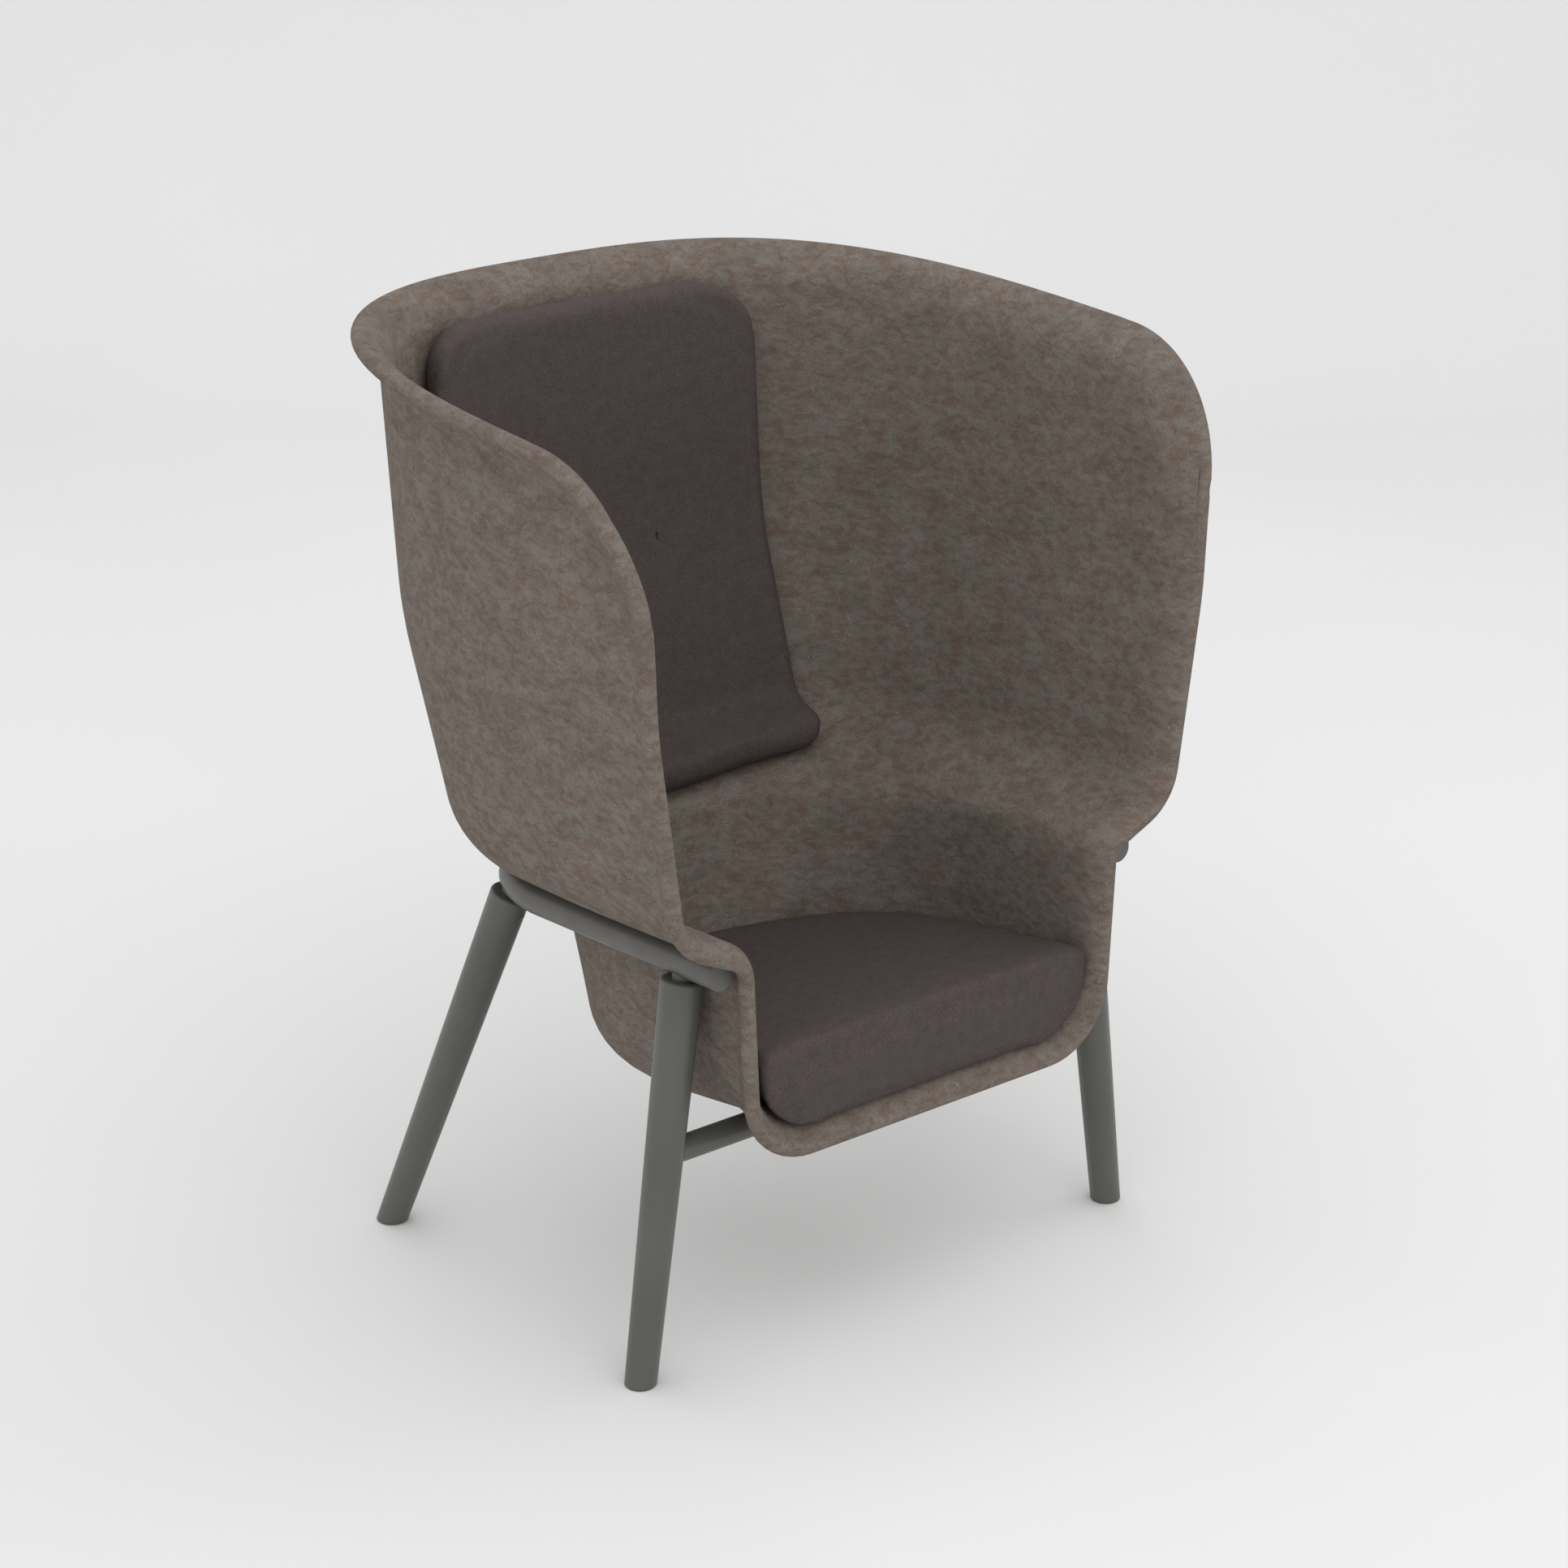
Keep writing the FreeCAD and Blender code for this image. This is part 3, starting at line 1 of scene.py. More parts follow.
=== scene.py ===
import json
from math import radians

import bmesh
import bpy
import numpy as np
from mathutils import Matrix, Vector


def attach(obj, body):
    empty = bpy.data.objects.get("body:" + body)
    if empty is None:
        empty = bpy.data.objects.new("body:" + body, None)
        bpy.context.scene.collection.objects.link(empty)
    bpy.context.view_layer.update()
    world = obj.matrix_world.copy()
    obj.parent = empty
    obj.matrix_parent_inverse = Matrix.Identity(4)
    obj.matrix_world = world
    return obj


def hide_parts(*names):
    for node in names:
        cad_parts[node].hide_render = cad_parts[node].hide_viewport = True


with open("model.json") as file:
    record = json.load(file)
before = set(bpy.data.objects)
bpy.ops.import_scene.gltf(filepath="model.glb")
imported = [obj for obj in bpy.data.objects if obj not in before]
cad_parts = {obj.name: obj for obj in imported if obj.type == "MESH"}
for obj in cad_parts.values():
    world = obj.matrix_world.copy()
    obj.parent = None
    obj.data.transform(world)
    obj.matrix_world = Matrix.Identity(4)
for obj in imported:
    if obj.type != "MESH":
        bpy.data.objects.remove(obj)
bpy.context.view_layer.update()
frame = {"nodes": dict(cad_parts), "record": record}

print("frame loaded")

# Acoustic high back lounge chair: felt shell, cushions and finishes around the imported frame, in metres


# Meshes worked out on grids

def addPiece(name, mesh):
    # Object at the origin, in the scene
    piece = bpy.data.objects.new(name, mesh)
    bpy.context.scene.collection.objects.link(piece)
    return piece


def gridPiece(name, grids):
    # One object with quads between neighbouring rows and columns of each grid points[row, column]
    points, quads = [], []
    count = 0
    for grid in grids:
        rows, columns = grid.shape[:2]
        index = np.arange(rows * columns).reshape(rows, columns) + count
        sides = [index[:-1, :-1], index[:-1, 1:], index[1:, 1:], index[1:, :-1]]
        quads.append(np.stack(sides, axis=-1).reshape(-1, 4))
        points.append(grid.reshape(-1, 3))
        count += rows * columns
    mesh = bpy.data.meshes.new(name)
    mesh.from_pydata(np.concatenate(points).tolist(), [], np.concatenate(quads).tolist())
    return addPiece(name, mesh)


def weldMesh(piece, distance=0.0002):
    # Merges points closer than the distance, drops faces without area and turns all faces outward
    work = bmesh.new()
    work.from_mesh(piece.data)
    bmesh.ops.remove_doubles(work, verts=work.verts, dist=distance)
    bmesh.ops.dissolve_degenerate(work, edges=work.edges, dist=1e-6)
    bmesh.ops.recalc_face_normals(work, faces=work.faces)
    work.to_mesh(piece.data)
    work.free()
    shadeSmooth(piece)


def shadeSmooth(piece):
    piece.data.polygons.foreach_set("use_smooth", np.ones(len(piece.data.polygons), dtype=bool))
    piece.data.update()


# Felt shell

shell = {
    "thickness": 0.021,
    "frontEdge": -0.4375,        # foremost line of the rounded edge
    "fanCentre": -0.2175,        # the back curves about this line
    "bucketFoot": (0.296, 0.0565), "bucketTop": (0.307, 0.1635), "bucketPower": 2.35,
    "shoulder": (0.408, 0.2825), "wingMiddle": (0.446, 0.3655), "wingTop": (0.456, 0.3875),
    "wingPower": 2.95,
    "footRadius": 0.095, "bucketRadius": 0.034, "shoulderRadius": 0.078, "shoulderBackRadius": 0.104,
    "wingRadius": 0.6,
    "wingMiddleHeight": 0.930, "wingMiddleFall": 0.049,
    "toeIn": 0.006,
    "floorHeight": 0.3468, "floorSlope": 0.155, "legLine": -0.3375,
    "railHeight": 0.580, "railSlope": 0.065, "railHalf": 0.340, "railBack": 0.2345,
    "railCorner": 0.225, "railBackRadius": 0.400, "railRadius": 0.020, "railGap": 0.0008,
    "shoulderAngle": radians(24.6),
    "rimHeight": 1.2366, "rimRise": 0.064, "lipHeight": 0.054, "lipReach": 0.035,
    "rimCorner": 0.190, "edgeBlend": 0.040,
    "wingFlare": 0.013, "wingFlareRun": 0.045,
    "bucketFlare": 0.010, "bucketFlareRun": 0.028,
    "waterfallDrop": 0.046, "waterfallRun": 0.085,
    "edgeRound": 0.0092,         # how far the rounded edge stands in front of the felt's middle
}


def superReach(alpha, half, back, power):
    # Distance along alpha to the superellipse |x/half|^n + |y/depth|^n = 1 about the fan centre
    depth = back - shell["fanCentre"]
    return ((np.cos(alpha) / half) ** power + (np.sin(alpha) / depth) ** power) ** (-1 / power)


def circleReach(alpha, x, y, radius):
    # Distance along alpha to the far side of a circle
    along = x * np.cos(alpha) + (y - shell["fanCentre"]) * np.sin(alpha)
    gap = x ** 2 + (y - shell["fanCentre"]) ** 2 - radius ** 2
    return along + np.sqrt(np.maximum(along ** 2 - gap, 0))


def railReach(alpha):
    # Distance along alpha to the rail: a straight side, then a corner arc, then one arc across the back
    arcY = shell["railBack"] - shell["railBackRadius"]
    cornerX = shell["railHalf"] - shell["railCorner"]
    sideEnd = arcY + np.sqrt((shell["railBackRadius"] - shell["railCorner"]) ** 2 - cornerX ** 2)
    side = shell["railHalf"] / np.maximum(np.cos(alpha), 1e-6)
    corner = circleReach(alpha, cornerX, sideEnd, shell["railCorner"])
    back = circleReach(alpha, 0, arcY, shell["railBackRadius"])
    ahead = shell["fanCentre"] + corner * np.sin(alpha) - sideEnd
    turned = np.arctan2(ahead, corner * np.cos(alpha) - cornerX)
    reach = np.where(turned <= np.arctan2(sideEnd - arcY, cornerX), corner, back)
    return np.where(shell["fanCentre"] + side * np.sin(alpha) <= sideEnd, side, reach)


def rimCornerLine():
    # Depth at which the level rim starts to turn down, and the height of that turn's centre
    y = shell["frontEdge"] + shell["edgeRound"] + shell["rimCorner"]
    return y, shell["rimHeight"] + shell["rimRise"] * shell["rimCorner"] - shell["rimCorner"]


def rimLevel(y):
    # Height of the rim's middle: a straight rise to the back and a quarter circle at the front
    corner, centre = rimCornerLine()
    level = shell["rimHeight"] + shell["rimRise"] * (y - shell["frontEdge"])
    drop = np.sqrt(np.maximum(shell["rimCorner"] ** 2 - np.maximum(corner - y, 0) ** 2, 0))
    return np.where(y >= corner, level, centre + drop)


def easeIn(y, run):
    # Share of a flare that starts a run behind the edge and grows with the square of the way
    start = shell["frontEdge"] + shell["edgeRound"] + run
    return np.maximum(0, (start - y) / run) ** 2


def unit(vectors):
    return vectors / np.linalg.norm(vectors, axis=-1, keepdims=True)


def leftOf(along):
    return np.stack([-along[..., 1], along[..., 0]], axis=-1)


def shiftLines(corners, moves):
    # Corners (section, corner, 2) with each line moved to its left by moves (section, line)
    along = unit(np.diff(corners, axis=1))
    starts = corners[:, :-1] + leftOf(along) * moves[..., None]
    first, second = along[:, :-1], along[:, 1:]
    gap = starts[:, 1:] - starts[:, :-1]
    cross = first[..., 0] * second[..., 1] - first[..., 1] * second[..., 0]
    reach = (gap[..., 0] * second[..., 1] - gap[..., 1] * second[..., 0]) / cross
    inner = starts[:, :-1] + first * reach[..., None]
    last = corners[:, -1:] + leftOf(along[:, -1:]) * moves[:, -1:, None]
    return np.concatenate([starts[:, :1], inner, last], axis=1)


def roundCorners(corners, radii, lineSteps, arcSteps):
    # Points along lines and tangent arcs, each corner's arc with its radius (section, corner)
    along = unit(np.diff(corners, axis=1))
    pieces = []
    current = corners[:, 0]
    for i in range(1, corners.shape[1] - 1):
        before, after = along[:, i - 1], along[:, i]
        turn = np.arctan2(before[:, 0] * after[:, 1] - before[:, 1] * after[:, 0], (before * after).sum(1))
        radius = radii[:, i - 1]
        cut = radius * np.tan(np.abs(turn) / 2)
        start = corners[:, i] - before * cut[:, None]
        spoke = -leftOf(before) * (np.sign(turn) * radius)[:, None]
        share = np.arange(lineSteps[i - 1]) / lineSteps[i - 1]
        pieces.append(current[:, None] + (start - current)[:, None] * share[None, :, None])
        angle = turn[:, None] * (np.arange(arcSteps[i - 1]) / arcSteps[i - 1])[None, :]
        turned = spoke[:, None] * np.cos(angle)[..., None] + leftOf(spoke)[:, None] * np.sin(angle)[..., None]
        pieces.append((start - spoke)[:, None] + turned)
        current = corners[:, i] + after * cut[:, None]
    share = np.arange(lineSteps[-1]) / lineSteps[-1]
    pieces.append(current[:, None] + (corners[:, -1] - current)[:, None] * share[None, :, None])
    return np.concatenate(pieces, axis=1)


def sectionCorners(y, alpha):
    # Corners of the felt's middle in each section: across the chair at y in front of the fan centre,
    # upright along alpha behind it, with the lip's rise and the flare of the wing
    fan = shell["fanCentre"]
    toe = shell["toeIn"] * (np.maximum(fan - y, 0) / (fan - shell["frontEdge"])) ** 2
    powers = {"bucketFoot": "bucketPower", "bucketTop": "bucketPower", "shoulder": "wingPower",
              "wingMiddle": "wingPower", "wingTop": "wingPower"}
    reach = {name: superReach(alpha, *shell[name], shell[power]) - toe for name, power in powers.items()}

    def depthOf(u):
        return np.where(alpha > 0, fan + u * np.sin(alpha), y)

    def floorAt(u):
        return shell["floorHeight"] - shell["floorSlope"] * (depthOf(u) - shell["legLine"])

    rail = np.where(alpha > 0, railReach(alpha), shell["railHalf"])
    clear = (shell["railRadius"] + shell["railGap"] + shell["thickness"] / 2) / np.cos(shell["shoulderAngle"])
    line = shell["railHeight"] - shell["railSlope"] * (depthOf(rail) - shell["legLine"]) + clear

    def onShoulder(u):
        return line + (u - rail) * np.tan(shell["shoulderAngle"])

    fall = shell["wingMiddleFall"] * np.maximum(depthOf(reach["wingMiddle"]) - fan, 0)
    middleHeight = shell["wingMiddleHeight"] - fall
    topY = depthOf(reach["wingTop"])
    corner, centreHeight = rimCornerLine()
    inner = shell["rimCorner"] - shell["lipHeight"]
    past = corner - topY
    curved = centreHeight + np.sqrt(np.maximum(inner ** 2 - past ** 2, 0))
    low = centreHeight - shell["edgeBlend"] * (past - inner) / shell["lipHeight"]
    foot = np.where(past <= 0, rimLevel(topY) - shell["lipHeight"], np.where(past < inner, curved, low))
    share = (foot - middleHeight) / (rimLevel(fan) - shell["lipHeight"] - shell["wingMiddleHeight"])
    straight = reach["wingMiddle"] + (shell["wingTop"][0] - shell["wingMiddle"][0]) * share
    topReach = np.where(alpha > 0, reach["wingTop"], straight)
    corners = np.stack([np.stack(pair, axis=1) for pair in (
        (np.zeros_like(y), floorAt(0)),
        (reach["bucketFoot"], floorAt(reach["bucketFoot"])),
        (reach["bucketTop"], onShoulder(reach["bucketTop"])),
        (reach["shoulder"], onShoulder(reach["shoulder"])),
        (reach["wingMiddle"], middleHeight),
        (topReach, foot))], axis=1)
    wing = -shell["wingFlare"] * easeIn(y, shell["wingFlareRun"])
    bucket = -shell["bucketFlare"] * easeIn(y, shell["bucketFlareRun"])
    drop = -shell["waterfallDrop"] * easeIn(y, shell["waterfallRun"])
    corners = shiftLines(corners, np.stack([drop, bucket, bucket, wing, wing], axis=1))
    corners[:, 0, 0] = 0
    return corners, rimLevel(topY) - foot, wing


def lipPoints(corners, rise, wing, y, alpha, steps):
    # Arc tangent to the wall that leans out by the lip's reach over its rise
    corner = rimCornerLine()[0]
    share = np.sqrt(np.maximum(0, 1 - (np.maximum(corner - y, 0) / shell["rimCorner"]) ** 2))
    leaned = shell["wingFlare"] + (shell["lipReach"] - shell["wingFlare"]) * share + wing
    out = np.maximum(np.where(alpha > 0, shell["lipReach"], leaned), 0.0005)
    along = unit(corners[:, -1] - corners[:, -2])
    radius = (out ** 2 + rise ** 2) / (2 * out)
    turned = 2 * np.arctan2(out, rise)[:, None] * np.linspace(0, 1, steps)[None, :]
    outward = -leftOf(along)[:, None] * (radius[:, None] * (1 - np.cos(turned)))[..., None]
    upward = along[:, None] * (radius[:, None] * np.sin(turned))[..., None]
    return corners[:, None, -1] + outward + upward


def shellMiddle():
    # Grid of the felt's middle: rows go round from the right front edge to the left one, columns run
    # from the middle of the floor up to the rim
    fan = shell["fanCentre"]
    frontMiddle = shell["frontEdge"] + shell["edgeRound"]
    frontY = frontMiddle + (fan - frontMiddle) * np.linspace(0, 1, 27)[:-1] ** 1.5
    angles = np.linspace(0, np.pi / 2, 41)
    y = np.concatenate([frontY, np.full(len(angles), fan)])
    alpha = np.concatenate([np.zeros(len(frontY)), angles])
    corners, rise, wing = sectionCorners(y, alpha)
    opened = (shell["shoulderBackRadius"] - shell["shoulderRadius"]) * np.sin(alpha) ** 2
    radii = np.stack([np.full_like(y, shell["footRadius"]), np.full_like(y, shell["bucketRadius"]),
                      shell["shoulderRadius"] + opened, np.full_like(y, shell["wingRadius"])], axis=1)
    run = roundCorners(corners, radii, (18, 10, 5, 16, 12), (10, 8, 12, 4))
    flat = np.concatenate([run, lipPoints(corners, rise, wing, y, alpha, 13)], axis=1)
    u, z = flat[..., 0], flat[..., 1]
    right = np.stack([u * np.cos(alpha)[:, None], y[:, None] + u * np.sin(alpha)[:, None], z], axis=-1)
    left = right[::-1][1:] * np.array([-1, 1, 1])
    return np.concatenate([right, left], axis=0)


def surfaceNormals(points):
    # Unit normals of a grid from the cross product of its row and column differences, towards the sitter
    across = np.gradient(points, axis=0)
    along = np.gradient(points, axis=1)
    normals = np.cross(along, across)
    length = np.linalg.norm(normals, axis=-1, keepdims=True)
    normals = normals / np.maximum(length, 1e-12)
    floorNormal = np.array([0, shell["floorSlope"], 1]) / np.hypot(1, shell["floorSlope"])
    if normals[len(points) // 2, 5, 2] < 0:
        normals = -normals
    pole = np.abs(points[:, 0, 1] - shell["fanCentre"]) < 1e-6
    normals[:, 0] = normals[:, 1]
    normals[pole, 0] = floorNormal
    return normals


def feltShell():
    # Two skins half a thickness from the middle surface and a half circle of felt round their edge
    middle = shellMiddle()
    normals = surfaceNormals(middle)
    half = shell["thickness"] / 2
    edge = np.concatenate([middle[0, :-1], middle[:, -1], middle[-1, :-1][::-1]])
    edgeNormal = np.concatenate([normals[0, :-1], normals[:, -1], normals[-1, :-1][::-1]])
    inside = np.concatenate([middle[1, :-1], middle[:, -2], middle[-2, :-1][::-1]])
    along = unit(np.gradient(edge, axis=0))
    outward = unit(np.cross(along, edgeNormal))
    outward *= np.sign(((edge - inside) * outward).sum(1))[:, None]
    turn = np.linspace(0, np.pi, 13)
    cap = edge[:, None] + half * (edgeNormal[:, None] * np.cos(turn)[None, :, None]
                                  + outward[:, None] * np.sin(turn)[None, :, None])
    piece = gridPiece("felt_shell", [middle + normals * half, middle - normals * half, cap])
    weldMesh(piece)
    return piece


feltPiece = feltShell()
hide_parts("shell")
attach(feltPiece, "root")
print("felt shell made", len(feltPiece.data.vertices))


# Cushions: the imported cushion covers, remeshed, swollen as cloth and smoothed

cushions = {
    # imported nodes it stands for, cell of its grid, pressure inside, furthest way of a point
    "seat_cushion": {"nodes": ("seat_cover", "seat_foam"),
                     "cell": 0.006, "pressure": 3.0, "cap": 0.003},
    "back_cushion": {"nodes": ("back_pad_cover", "back_pad_foam"),
                     "cell": 0.006, "pressure": 2.5, "cap": 0.002},
}
clothFrames = 20


def outerSkin(node):
    # The node's mesh in chair coordinates without the hollow for its foam
    source = frame["nodes"][node]
    mesh = source.data.copy()
    mesh.transform(source.matrix_world)
    mesh.materials.clear()
    work = bmesh.new()
    work.from_mesh(mesh)
    bmesh.ops.remove_doubles(work, verts=work.verts, dist=0.00002)
    left = set(work.verts)
    islands = []
    while left:
        stack = [left.pop()]
        island = list(stack)
        while stack:
            near = {vert for edge in stack.pop().link_edges for vert in edge.verts if vert in left}
            left -= near
            island += near
            stack += near
        islands.append(island)
    islands.sort(key=lambda island: min(vert.co.x for vert in island))
    for island in islands[1:]:
        bmesh.ops.delete(work, geom=island, context="VERTS")
    work.to_mesh(mesh)
    work.free()
    return mesh


def swellCushion(piece, pressure, cap):
    # Lets the cushion swell as closed cloth without weight, then limits each point's way
    scene = bpy.context.scene
    start = np.empty(len(piece.data.vertices) * 3)
    piece.data.vertices.foreach_get("co", start)
    cloth = piece.modifiers.new("Swell", "CLOTH")
    cloth.settings.quality = 6
    cloth.settings.mass = 0.2
    cloth.settings.tension_stiffness = 25
    cloth.settings.compression_stiffness = 25
    cloth.settings.bending_stiffness = 1.5
    cloth.settings.use_pressure = True
    cloth.settings.uniform_pressure_force = pressure
    cloth.settings.effector_weights.gravity = 0
    for step in range(1, clothFrames + 1):
        scene.frame_set(step)
    settled = piece.evaluated_get(bpy.context.evaluated_depsgraph_get())
    end = np.empty_like(start)
    settled.data.vertices.foreach_get("co", end)
    piece.modifiers.remove(cloth)
    scene.frame_set(1)
    way = (end - start).reshape(-1, 3)
    length = np.linalg.norm(way, axis=1, keepdims=True)
    way *= cap * np.tanh(length / cap) / np.maximum(length, 1e-9)
    piece.data.vertices.foreach_set("co", start + way.reshape(-1))
    piece.data.update()


slots = {"length": 0.013, "width": 0.005, "depth": 0.014, "cutAhead": 0.035, "steps": 24}


def cutSlots(piece):
    # Two upright slots with round ends through the pad's front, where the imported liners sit
    count = slots["steps"]
    radius = slots["width"] / 2
    reach = slots["length"] / 2 - radius
    turn = np.linspace(0, 2 * np.pi, count, endpoint=False)
    outline = np.stack([radius * np.cos(turn), radius * np.sin(turn) + np.sign(np.sin(turn)) * reach], axis=1)
    liner = frame["nodes"]["back_pad_slot_liners"]
    spots = np.array([list(liner.matrix_world @ vert.co) for vert in liner.data.vertices])
    for side in (-1, 1):
        centre = spots[spots[:, 0] * side > 0].mean(axis=0)
        rings = np.empty((2, count, 3))
        for ring, ahead in zip(rings, (slots["cutAhead"], -slots["depth"] / 2)):
            ring[:, 0] = centre[0] + outline[:, 0]
            ring[:, 1] = centre[1] - ahead
            ring[:, 2] = centre[2] + outline[:, 1]
        work = bmesh.new()
        verts = [[work.verts.new(point) for point in ring] for ring in rings]
        for i in range(count):
            following = (i + 1) % (count)
            work.faces.new((verts[0][i], verts[0][following], verts[1][following], verts[1][i]))
        work.faces.new(verts[0])
        work.faces.new(verts[1])
        bmesh.ops.recalc_face_normals(work, faces=work.faces)
        mesh = bpy.data.meshes.new("slot")
        work.to_mesh(mesh)
        work.free()
        cutter = addPiece("slot", mesh)
        cut = piece.modifiers.new("Slot", "BOOLEAN")
        cut.object = cutter
        cut.solver = "EXACT"
        bpy.context.view_layer.objects.active = piece
        bpy.ops.object.modifier_apply(modifier="Slot")
        bpy.data.objects.remove(cutter)


def cushionPiece(name, form):
    piece = addPiece(name, outerSkin(form["nodes"][0]))
    bpy.context.view_layer.objects.active = piece
    remesh = piece.modifiers.new("Grid", "REMESH")
    remesh.mode = "VOXEL"
    remesh.voxel_size = form["cell"]
    bpy.ops.object.modifier_apply(modifier="Grid")
    soft = piece.modifiers.new("Even", "SMOOTH")
    soft.factor = 0.5
    soft.iterations = 4
    bpy.ops.object.modifier_apply(modifier="Even")
    swellCushion(piece, form["pressure"], form["cap"])
    fine = piece.modifiers.new("Fine", "SUBSURF")
    fine.levels = 1
    fine.render_levels = 1
    if "back_pad_cover" in form["nodes"]:
        bpy.ops.object.modifier_apply(modifier="Fine")
        cutSlots(piece)
    shadeSmooth(piece)
    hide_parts(*form["nodes"])
    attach(piece, "root")
    return piece


cushionPieces = {name: cushionPiece(name, form) for name, form in cushions.items()}
print("cushions made")


# Materials, all in Object coordinates

def newMaterial(name):
    # Node material with its nodes, its links and its shader
    material = bpy.data.materials.new(name)
    material.use_nodes = True
    nodes = material.node_tree.nodes
    return material, nodes, material.node_tree.links, nodes["Principled BSDF"]


def feed(links, socket, source):
    # Sets a socket to a number, a colour or another node's output
    if isinstance(source, (int, float)):
        socket.default_value = source
    elif isinstance(source, tuple):
        socket.default_value = (*source, 1)
    else:
        links.new(source, socket)


def noise(nodes, links, place, scale, detail=2.0, roughness=0.5, stretch=(1, 1, 1), warp=0.0):
    # Noise over Object coordinates, finer along an axis with a larger stretch
    mapping = nodes.new("ShaderNodeMapping")
    mapping.inputs["Scale"].default_value = stretch
    links.new(place, mapping.inputs["Vector"])
    texture = nodes.new("ShaderNodeTexNoise")
    texture.inputs["Scale"].default_value = scale
    texture.inputs["Detail"].default_value = detail
    texture.inputs["Roughness"].default_value = roughness
    texture.inputs["Distortion"].default_value = warp
    links.new(mapping.outputs["Vector"], texture.inputs["Vector"])
    return texture.outputs["Fac"]


def ramp(nodes, links, value, stops):
    # Colours along a value, given as (place, colour) pairs
    node = nodes.new("ShaderNodeValToRGB")
    elements = node.color_ramp.elements
    while len(elements) < len(stops):
        elements.new(0.5)
    for element, (place, colour) in zip(elements, stops):
        element.position = place
        element.color = (*colour, 1)
    links.new(value, node.inputs["Fac"])
    return node.outputs["Color"]


def mixed(nodes, links, share, first, second, blend="MIX"):
    # Two colours mixed by a value or a number
    node = nodes.new("ShaderNodeMix")
    node.data_type = "RGBA"
    node.blend_type = blend
    for socket, source in ((node.inputs[0], share), (node.inputs[6], first), (node.inputs[7], second)):
        feed(links, socket, source)
    return node.outputs[2]


def combine(nodes, links, operation, first, second):
    # One arithmetic step on values or numbers
    node = nodes.new("ShaderNodeMath")
    node.operation = operation
    for socket, source in zip(node.inputs, (first, second)):
        feed(links, socket, source)
    return node.outputs["Value"]


def bumpOf(nodes, links, shader, height, distance, strength):
    node = nodes.new("ShaderNodeBump")
    node.inputs["Distance"].default_value = distance
    node.inputs["Strength"].default_value = strength
    links.new(height, node.inputs["Height"])
    links.new(node.outputs["Normal"], shader.inputs["Normal"])


def linear(red, green, blue):
    # Scene colour from a screen colour of 0 to 255
    return tuple(((c / 255 + 0.055) / 1.055) ** 2.4 for c in (red, green, blue))


felt = {
    "grey": (120, 116, 110), "brown": (108, 92, 82), "fleckColour": (205, 202, 198),
    "clouds": 55, "fibres": 800, "flecks": 330, "roughness": 0.95,
}


def feltMaterial():
    # Grey and brown fibre in soft clouds, short fibres over them and sparse white flecks
    material, nodes, links, shader = newMaterial("pressed felt")
    place = nodes.new("ShaderNodeTexCoord").outputs["Object"]
    clouds = noise(nodes, links, place, felt["clouds"], 5, 0.62, (1, 1, 1.9), 0.6)
    worms = noise(nodes, links, place, felt["fibres"], 3, 0.6, (1, 1, 1.5), 1.6)
    broad = noise(nodes, links, place, felt["clouds"] * 0.3, 3, 0.5, (1, 1, 2.2))
    share = combine(nodes, links, "ADD", combine(nodes, links, "MULTIPLY", clouds, 0.5),
                    combine(nodes, links, "MULTIPLY", worms, 0.5))
    base = ramp(nodes, links, share, ((0.44, linear(*felt["brown"])), (0.56, linear(*felt["grey"]))))
    speck = ramp(nodes, links, worms, ((0.3, (0.7, 0.7, 0.7)), (0.5, (1, 1, 1)), (0.7, (1.32, 1.3, 1.28))))
    colour = mixed(nodes, links, 1.0, base, speck, "MULTIPLY")
    shade = ramp(nodes, links, broad, ((0.35, (0.9, 0.89, 0.88)), (0.65, (1.08, 1.08, 1.08))))
    colour = mixed(nodes, links, 1.0, colour, shade, "MULTIPLY")
    fleck = nodes.new("ShaderNodeTexVoronoi")
    fleck.inputs["Scale"].default_value = felt["flecks"]
    links.new(place, fleck.inputs["Vector"])
    few = combine(nodes, links, "GREATER_THAN", noise(nodes, links, place, 45), 0.62)
    dots = combine(nodes, links, "LESS_THAN", fleck.outputs["Distance"], 0.13)
    colour = mixed(nodes, links, combine(nodes, links, "MULTIPLY", few, dots), colour,
                   linear(*felt["fleckColour"]))
    links.new(colour, shader.inputs["Base Color"])
    shader.inputs["Roughness"].default_value = felt["roughness"]
    shader.inputs["Specular IOR Level"].default_value = 0.2
    whorls = noise(nodes, links, place, felt["fibres"] * 0.42, 2, 0.5, (1, 1, 1), 1.2)
    bumpOf(nodes, links, shader, combine(nodes, links, "ADD", worms, whorls), 0.0012, 0.6)
    return material


cloth = {"dark": (60, 53, 51), "light": (90, 81, 79), "grain": 900, "roughness": 0.9}


def clothMaterial():
    # Fine wool cloth: dark brown grey yarn with lighter mauve specks
    material, nodes, links, shader = newMaterial("wool cloth")
    place = nodes.new("ShaderNodeTexCoord").outputs["Object"]
    grain = noise(nodes, links, place, cloth["grain"], 2, 0.6)
    soft = noise(nodes, links, place, 60, 3)
    colour = ramp(nodes, links, grain, ((0.36, linear(*cloth["dark"])), (0.64, linear(*cloth["light"]))))
    shade = ramp(nodes, links, soft, ((0.35, (0.93, 0.93, 0.93)), (0.65, (1.06, 1.05, 1.05))))
    links.new(mixed(nodes, links, 1.0, colour, shade, "MULTIPLY"), shader.inputs["Base Color"])
    shader.inputs["Roughness"].default_value = cloth["roughness"]
    shader.inputs["Specular IOR Level"].default_value = 0.2
    bumpOf(nodes, links, shader, grain, 0.0006, 0.45)
    return material


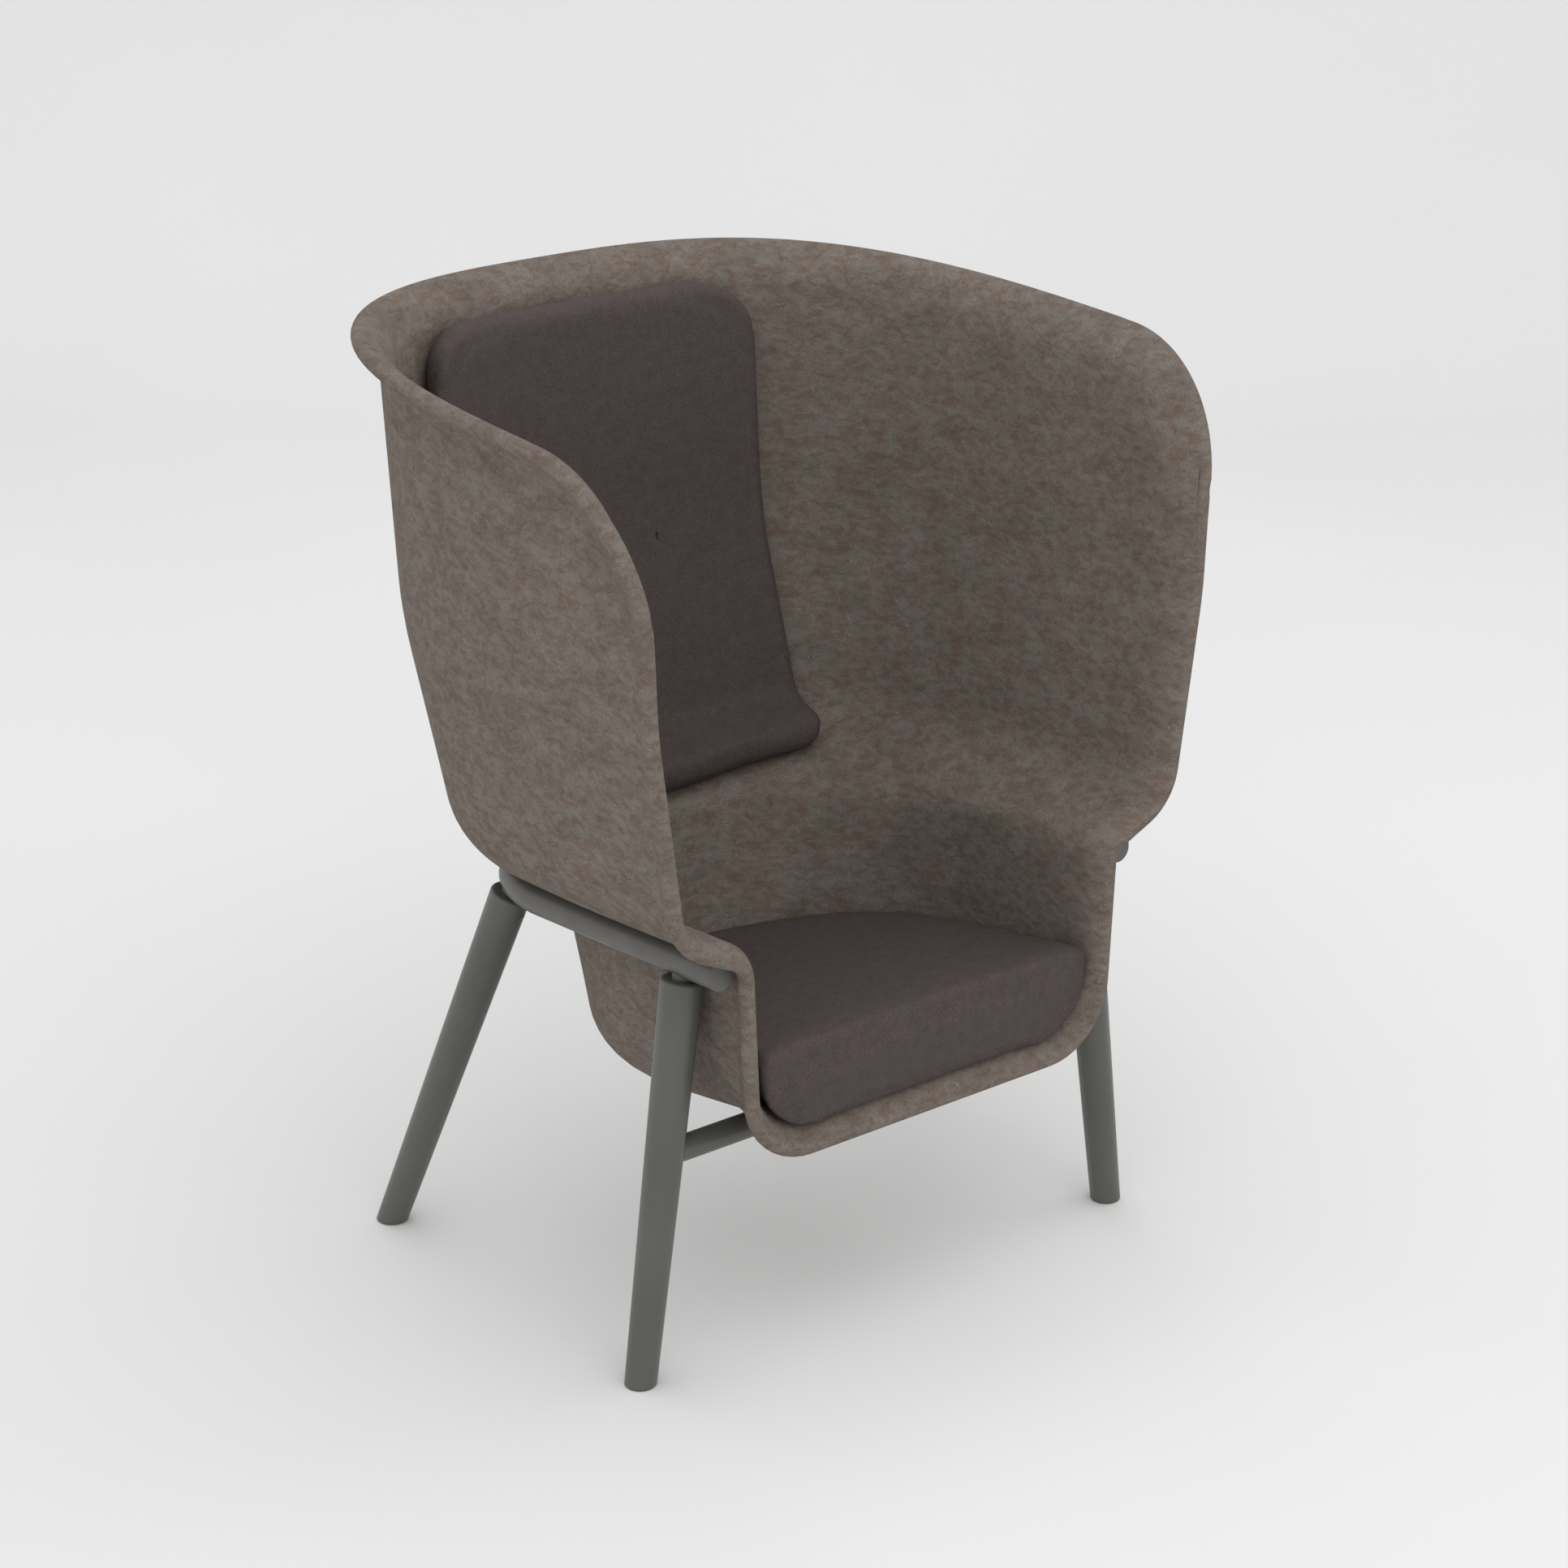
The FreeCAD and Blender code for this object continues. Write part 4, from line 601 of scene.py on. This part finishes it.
finishes = {
    # slot: first colour, second colour, spot scale, roughness range, metallic, bump distance
    "frame_paint": ((84, 83, 80), (90, 89, 85), 700, (0.38, 0.46), 0.0, 0.00008),
    "leg_lacquer": ((80, 80, 75), (86, 86, 81), 180, (0.34, 0.42), 0.0, 0.00005),
    "black_steel": ((26, 26, 27), (36, 36, 37), 900, (0.35, 0.5), 1.0, 0.00004),
    "glide_plastic": ((30, 30, 30), (38, 38, 38), 900, (0.5, 0.6), 0.0, 0.00006),
    "foam": ((190, 184, 160), (206, 200, 178), 1200, (0.9, 0.95), 0.0, 0.0004),
    "grip_tape": ((18, 18, 18), (34, 34, 34), 1500, (0.9, 0.95), 0.0, 0.0005),
    "board": ((168, 140, 106), (150, 120, 86), 60, (0.6, 0.7), 0.0, 0.0001),
    "black_plastic": ((18, 18, 18), (26, 26, 26), 900, (0.5, 0.6), 0.0, 0.00005),
}


def finishMaterial(slot):
    # Plain finish with a little life in its colour, gloss and surface
    first, second, scale, rough, metallic, depth = finishes[slot]
    material, nodes, links, shader = newMaterial(slot.replace("_", " "))
    place = nodes.new("ShaderNodeTexCoord").outputs["Object"]
    fine = noise(nodes, links, place, scale, 3, 0.55)
    broad = noise(nodes, links, place, scale / 25, 3)
    tone = ramp(nodes, links, broad, ((0.35, linear(*first)), (0.65, linear(*second))))
    links.new(tone, shader.inputs["Base Color"])
    gloss = nodes.new("ShaderNodeMapRange")
    gloss.inputs["To Min"].default_value, gloss.inputs["To Max"].default_value = rough
    links.new(fine, gloss.inputs["Value"])
    links.new(gloss.outputs["Result"], shader.inputs["Roughness"])
    shader.inputs["Metallic"].default_value = metallic
    bumpOf(nodes, links, shader, fine, depth, 0.5)
    return material


materials = {slot: finishMaterial(slot) for slot in finishes}
materials["felt"] = feltMaterial()
materials["upholstery"] = clothMaterial()
slotOf = {part["node"]: part["material_slot"] for part in frame["record"]["subparts"]}


def dress(piece, material):
    # One material over the whole piece
    piece.data.materials.clear()
    piece.data.materials.append(material)


for name, piece in frame["nodes"].items():
    for place in piece.material_slots:
        place.material = materials[slotOf[name]]
dress(feltPiece, materials["felt"])
for piece in cushionPieces.values():
    dress(piece, materials["upholstery"])
print("materials made")


# Studio: a pale curved backdrop, soft lights and the camera

studio = {
    "floor": (228, 228, 228), "reach": 9.0, "turn": 1.6, "wallHeight": 7.0, "wallBack": 4.2,
    "world": 0.98,
    "lights": (
        # place, size, watts
        ((-1.2, -2.6, 4.2), 3.2, 36),
        ((3.4, -1.0, 3.2), 2.6, 12),
        ((0.5, 2.6, 4.6), 3.0, 20),
    ),
    "lightTarget": (0, 0, 0.7),
    "camera": (-2.8108, -3.6100, 2.3764), "cameraFall": 20.83, "cameraTurn": -38.83, "lens": 81.69,
}


def backdrop():
    # Floor that bends up into a wall on the side away from the camera
    heading = radians(studio["cameraTurn"])
    away = np.array([-np.sin(heading), np.cos(heading)])
    side = np.array([away[1], -away[0]])
    turn = np.linspace(0, np.pi / 2, 25)
    back = studio["wallBack"]
    bend = np.stack([back + studio["turn"] * np.sin(turn), studio["turn"] * (1 - np.cos(turn))], axis=1)
    path = np.concatenate([[[-studio["reach"], 0]], bend, [[back + studio["turn"], studio["wallHeight"]]]])
    across = np.linspace(-studio["reach"], studio["reach"], 3)
    points = np.empty((len(path), 3, 3))
    points[..., :2] = path[:, None, :1] * away + across[None, :, None] * side
    points[..., 2] = path[:, 1:]
    piece = gridPiece("backdrop", [points])
    shadeSmooth(piece)
    material, nodes, links, shader = newMaterial("backdrop paper")
    place = nodes.new("ShaderNodeTexCoord").outputs["Object"]
    brighter = tuple(c + 2 for c in studio["floor"])
    tone = ramp(nodes, links, noise(nodes, links, place, 0.8),
                ((0.3, linear(*studio["floor"])), (0.7, linear(*brighter))))
    links.new(tone, shader.inputs["Base Color"])
    shader.inputs["Roughness"].default_value = 0.95
    shader.inputs["Specular IOR Level"].default_value = 0.1
    dress(piece, material)


def areaLight(place, size, watts):
    # Soft square light that looks at the middle of the chair
    data = bpy.data.lights.new("softbox", "AREA")
    data.size = size
    data.energy = watts
    lamp = bpy.data.objects.new("softbox", data)
    lamp.location = place
    lamp.rotation_euler = (Vector(studio["lightTarget"]) - Vector(place)).to_track_quat("-Z", "Y").to_euler()
    bpy.context.scene.collection.objects.link(lamp)


backdrop()
for place, size, watts in studio["lights"]:
    areaLight(place, size, watts)
world = bpy.data.worlds.new("soft room")
bpy.context.scene.world = world
world.use_nodes = True
world.node_tree.nodes["Background"].inputs["Color"].default_value = (1, 1, 1, 1)
world.node_tree.nodes["Background"].inputs["Strength"].default_value = studio["world"]

camera = bpy.data.objects.new("camera", bpy.data.cameras.new("camera"))
camera.location = studio["camera"]
camera.rotation_euler = (radians(90 - studio["cameraFall"]), 0, radians(studio["cameraTurn"]))
camera.data.lens = studio["lens"]
camera.data.sensor_width = 36
bpy.context.scene.collection.objects.link(camera)
bpy.context.scene.camera = camera
bpy.context.scene.view_settings.view_transform = "Standard"
print("studio made")
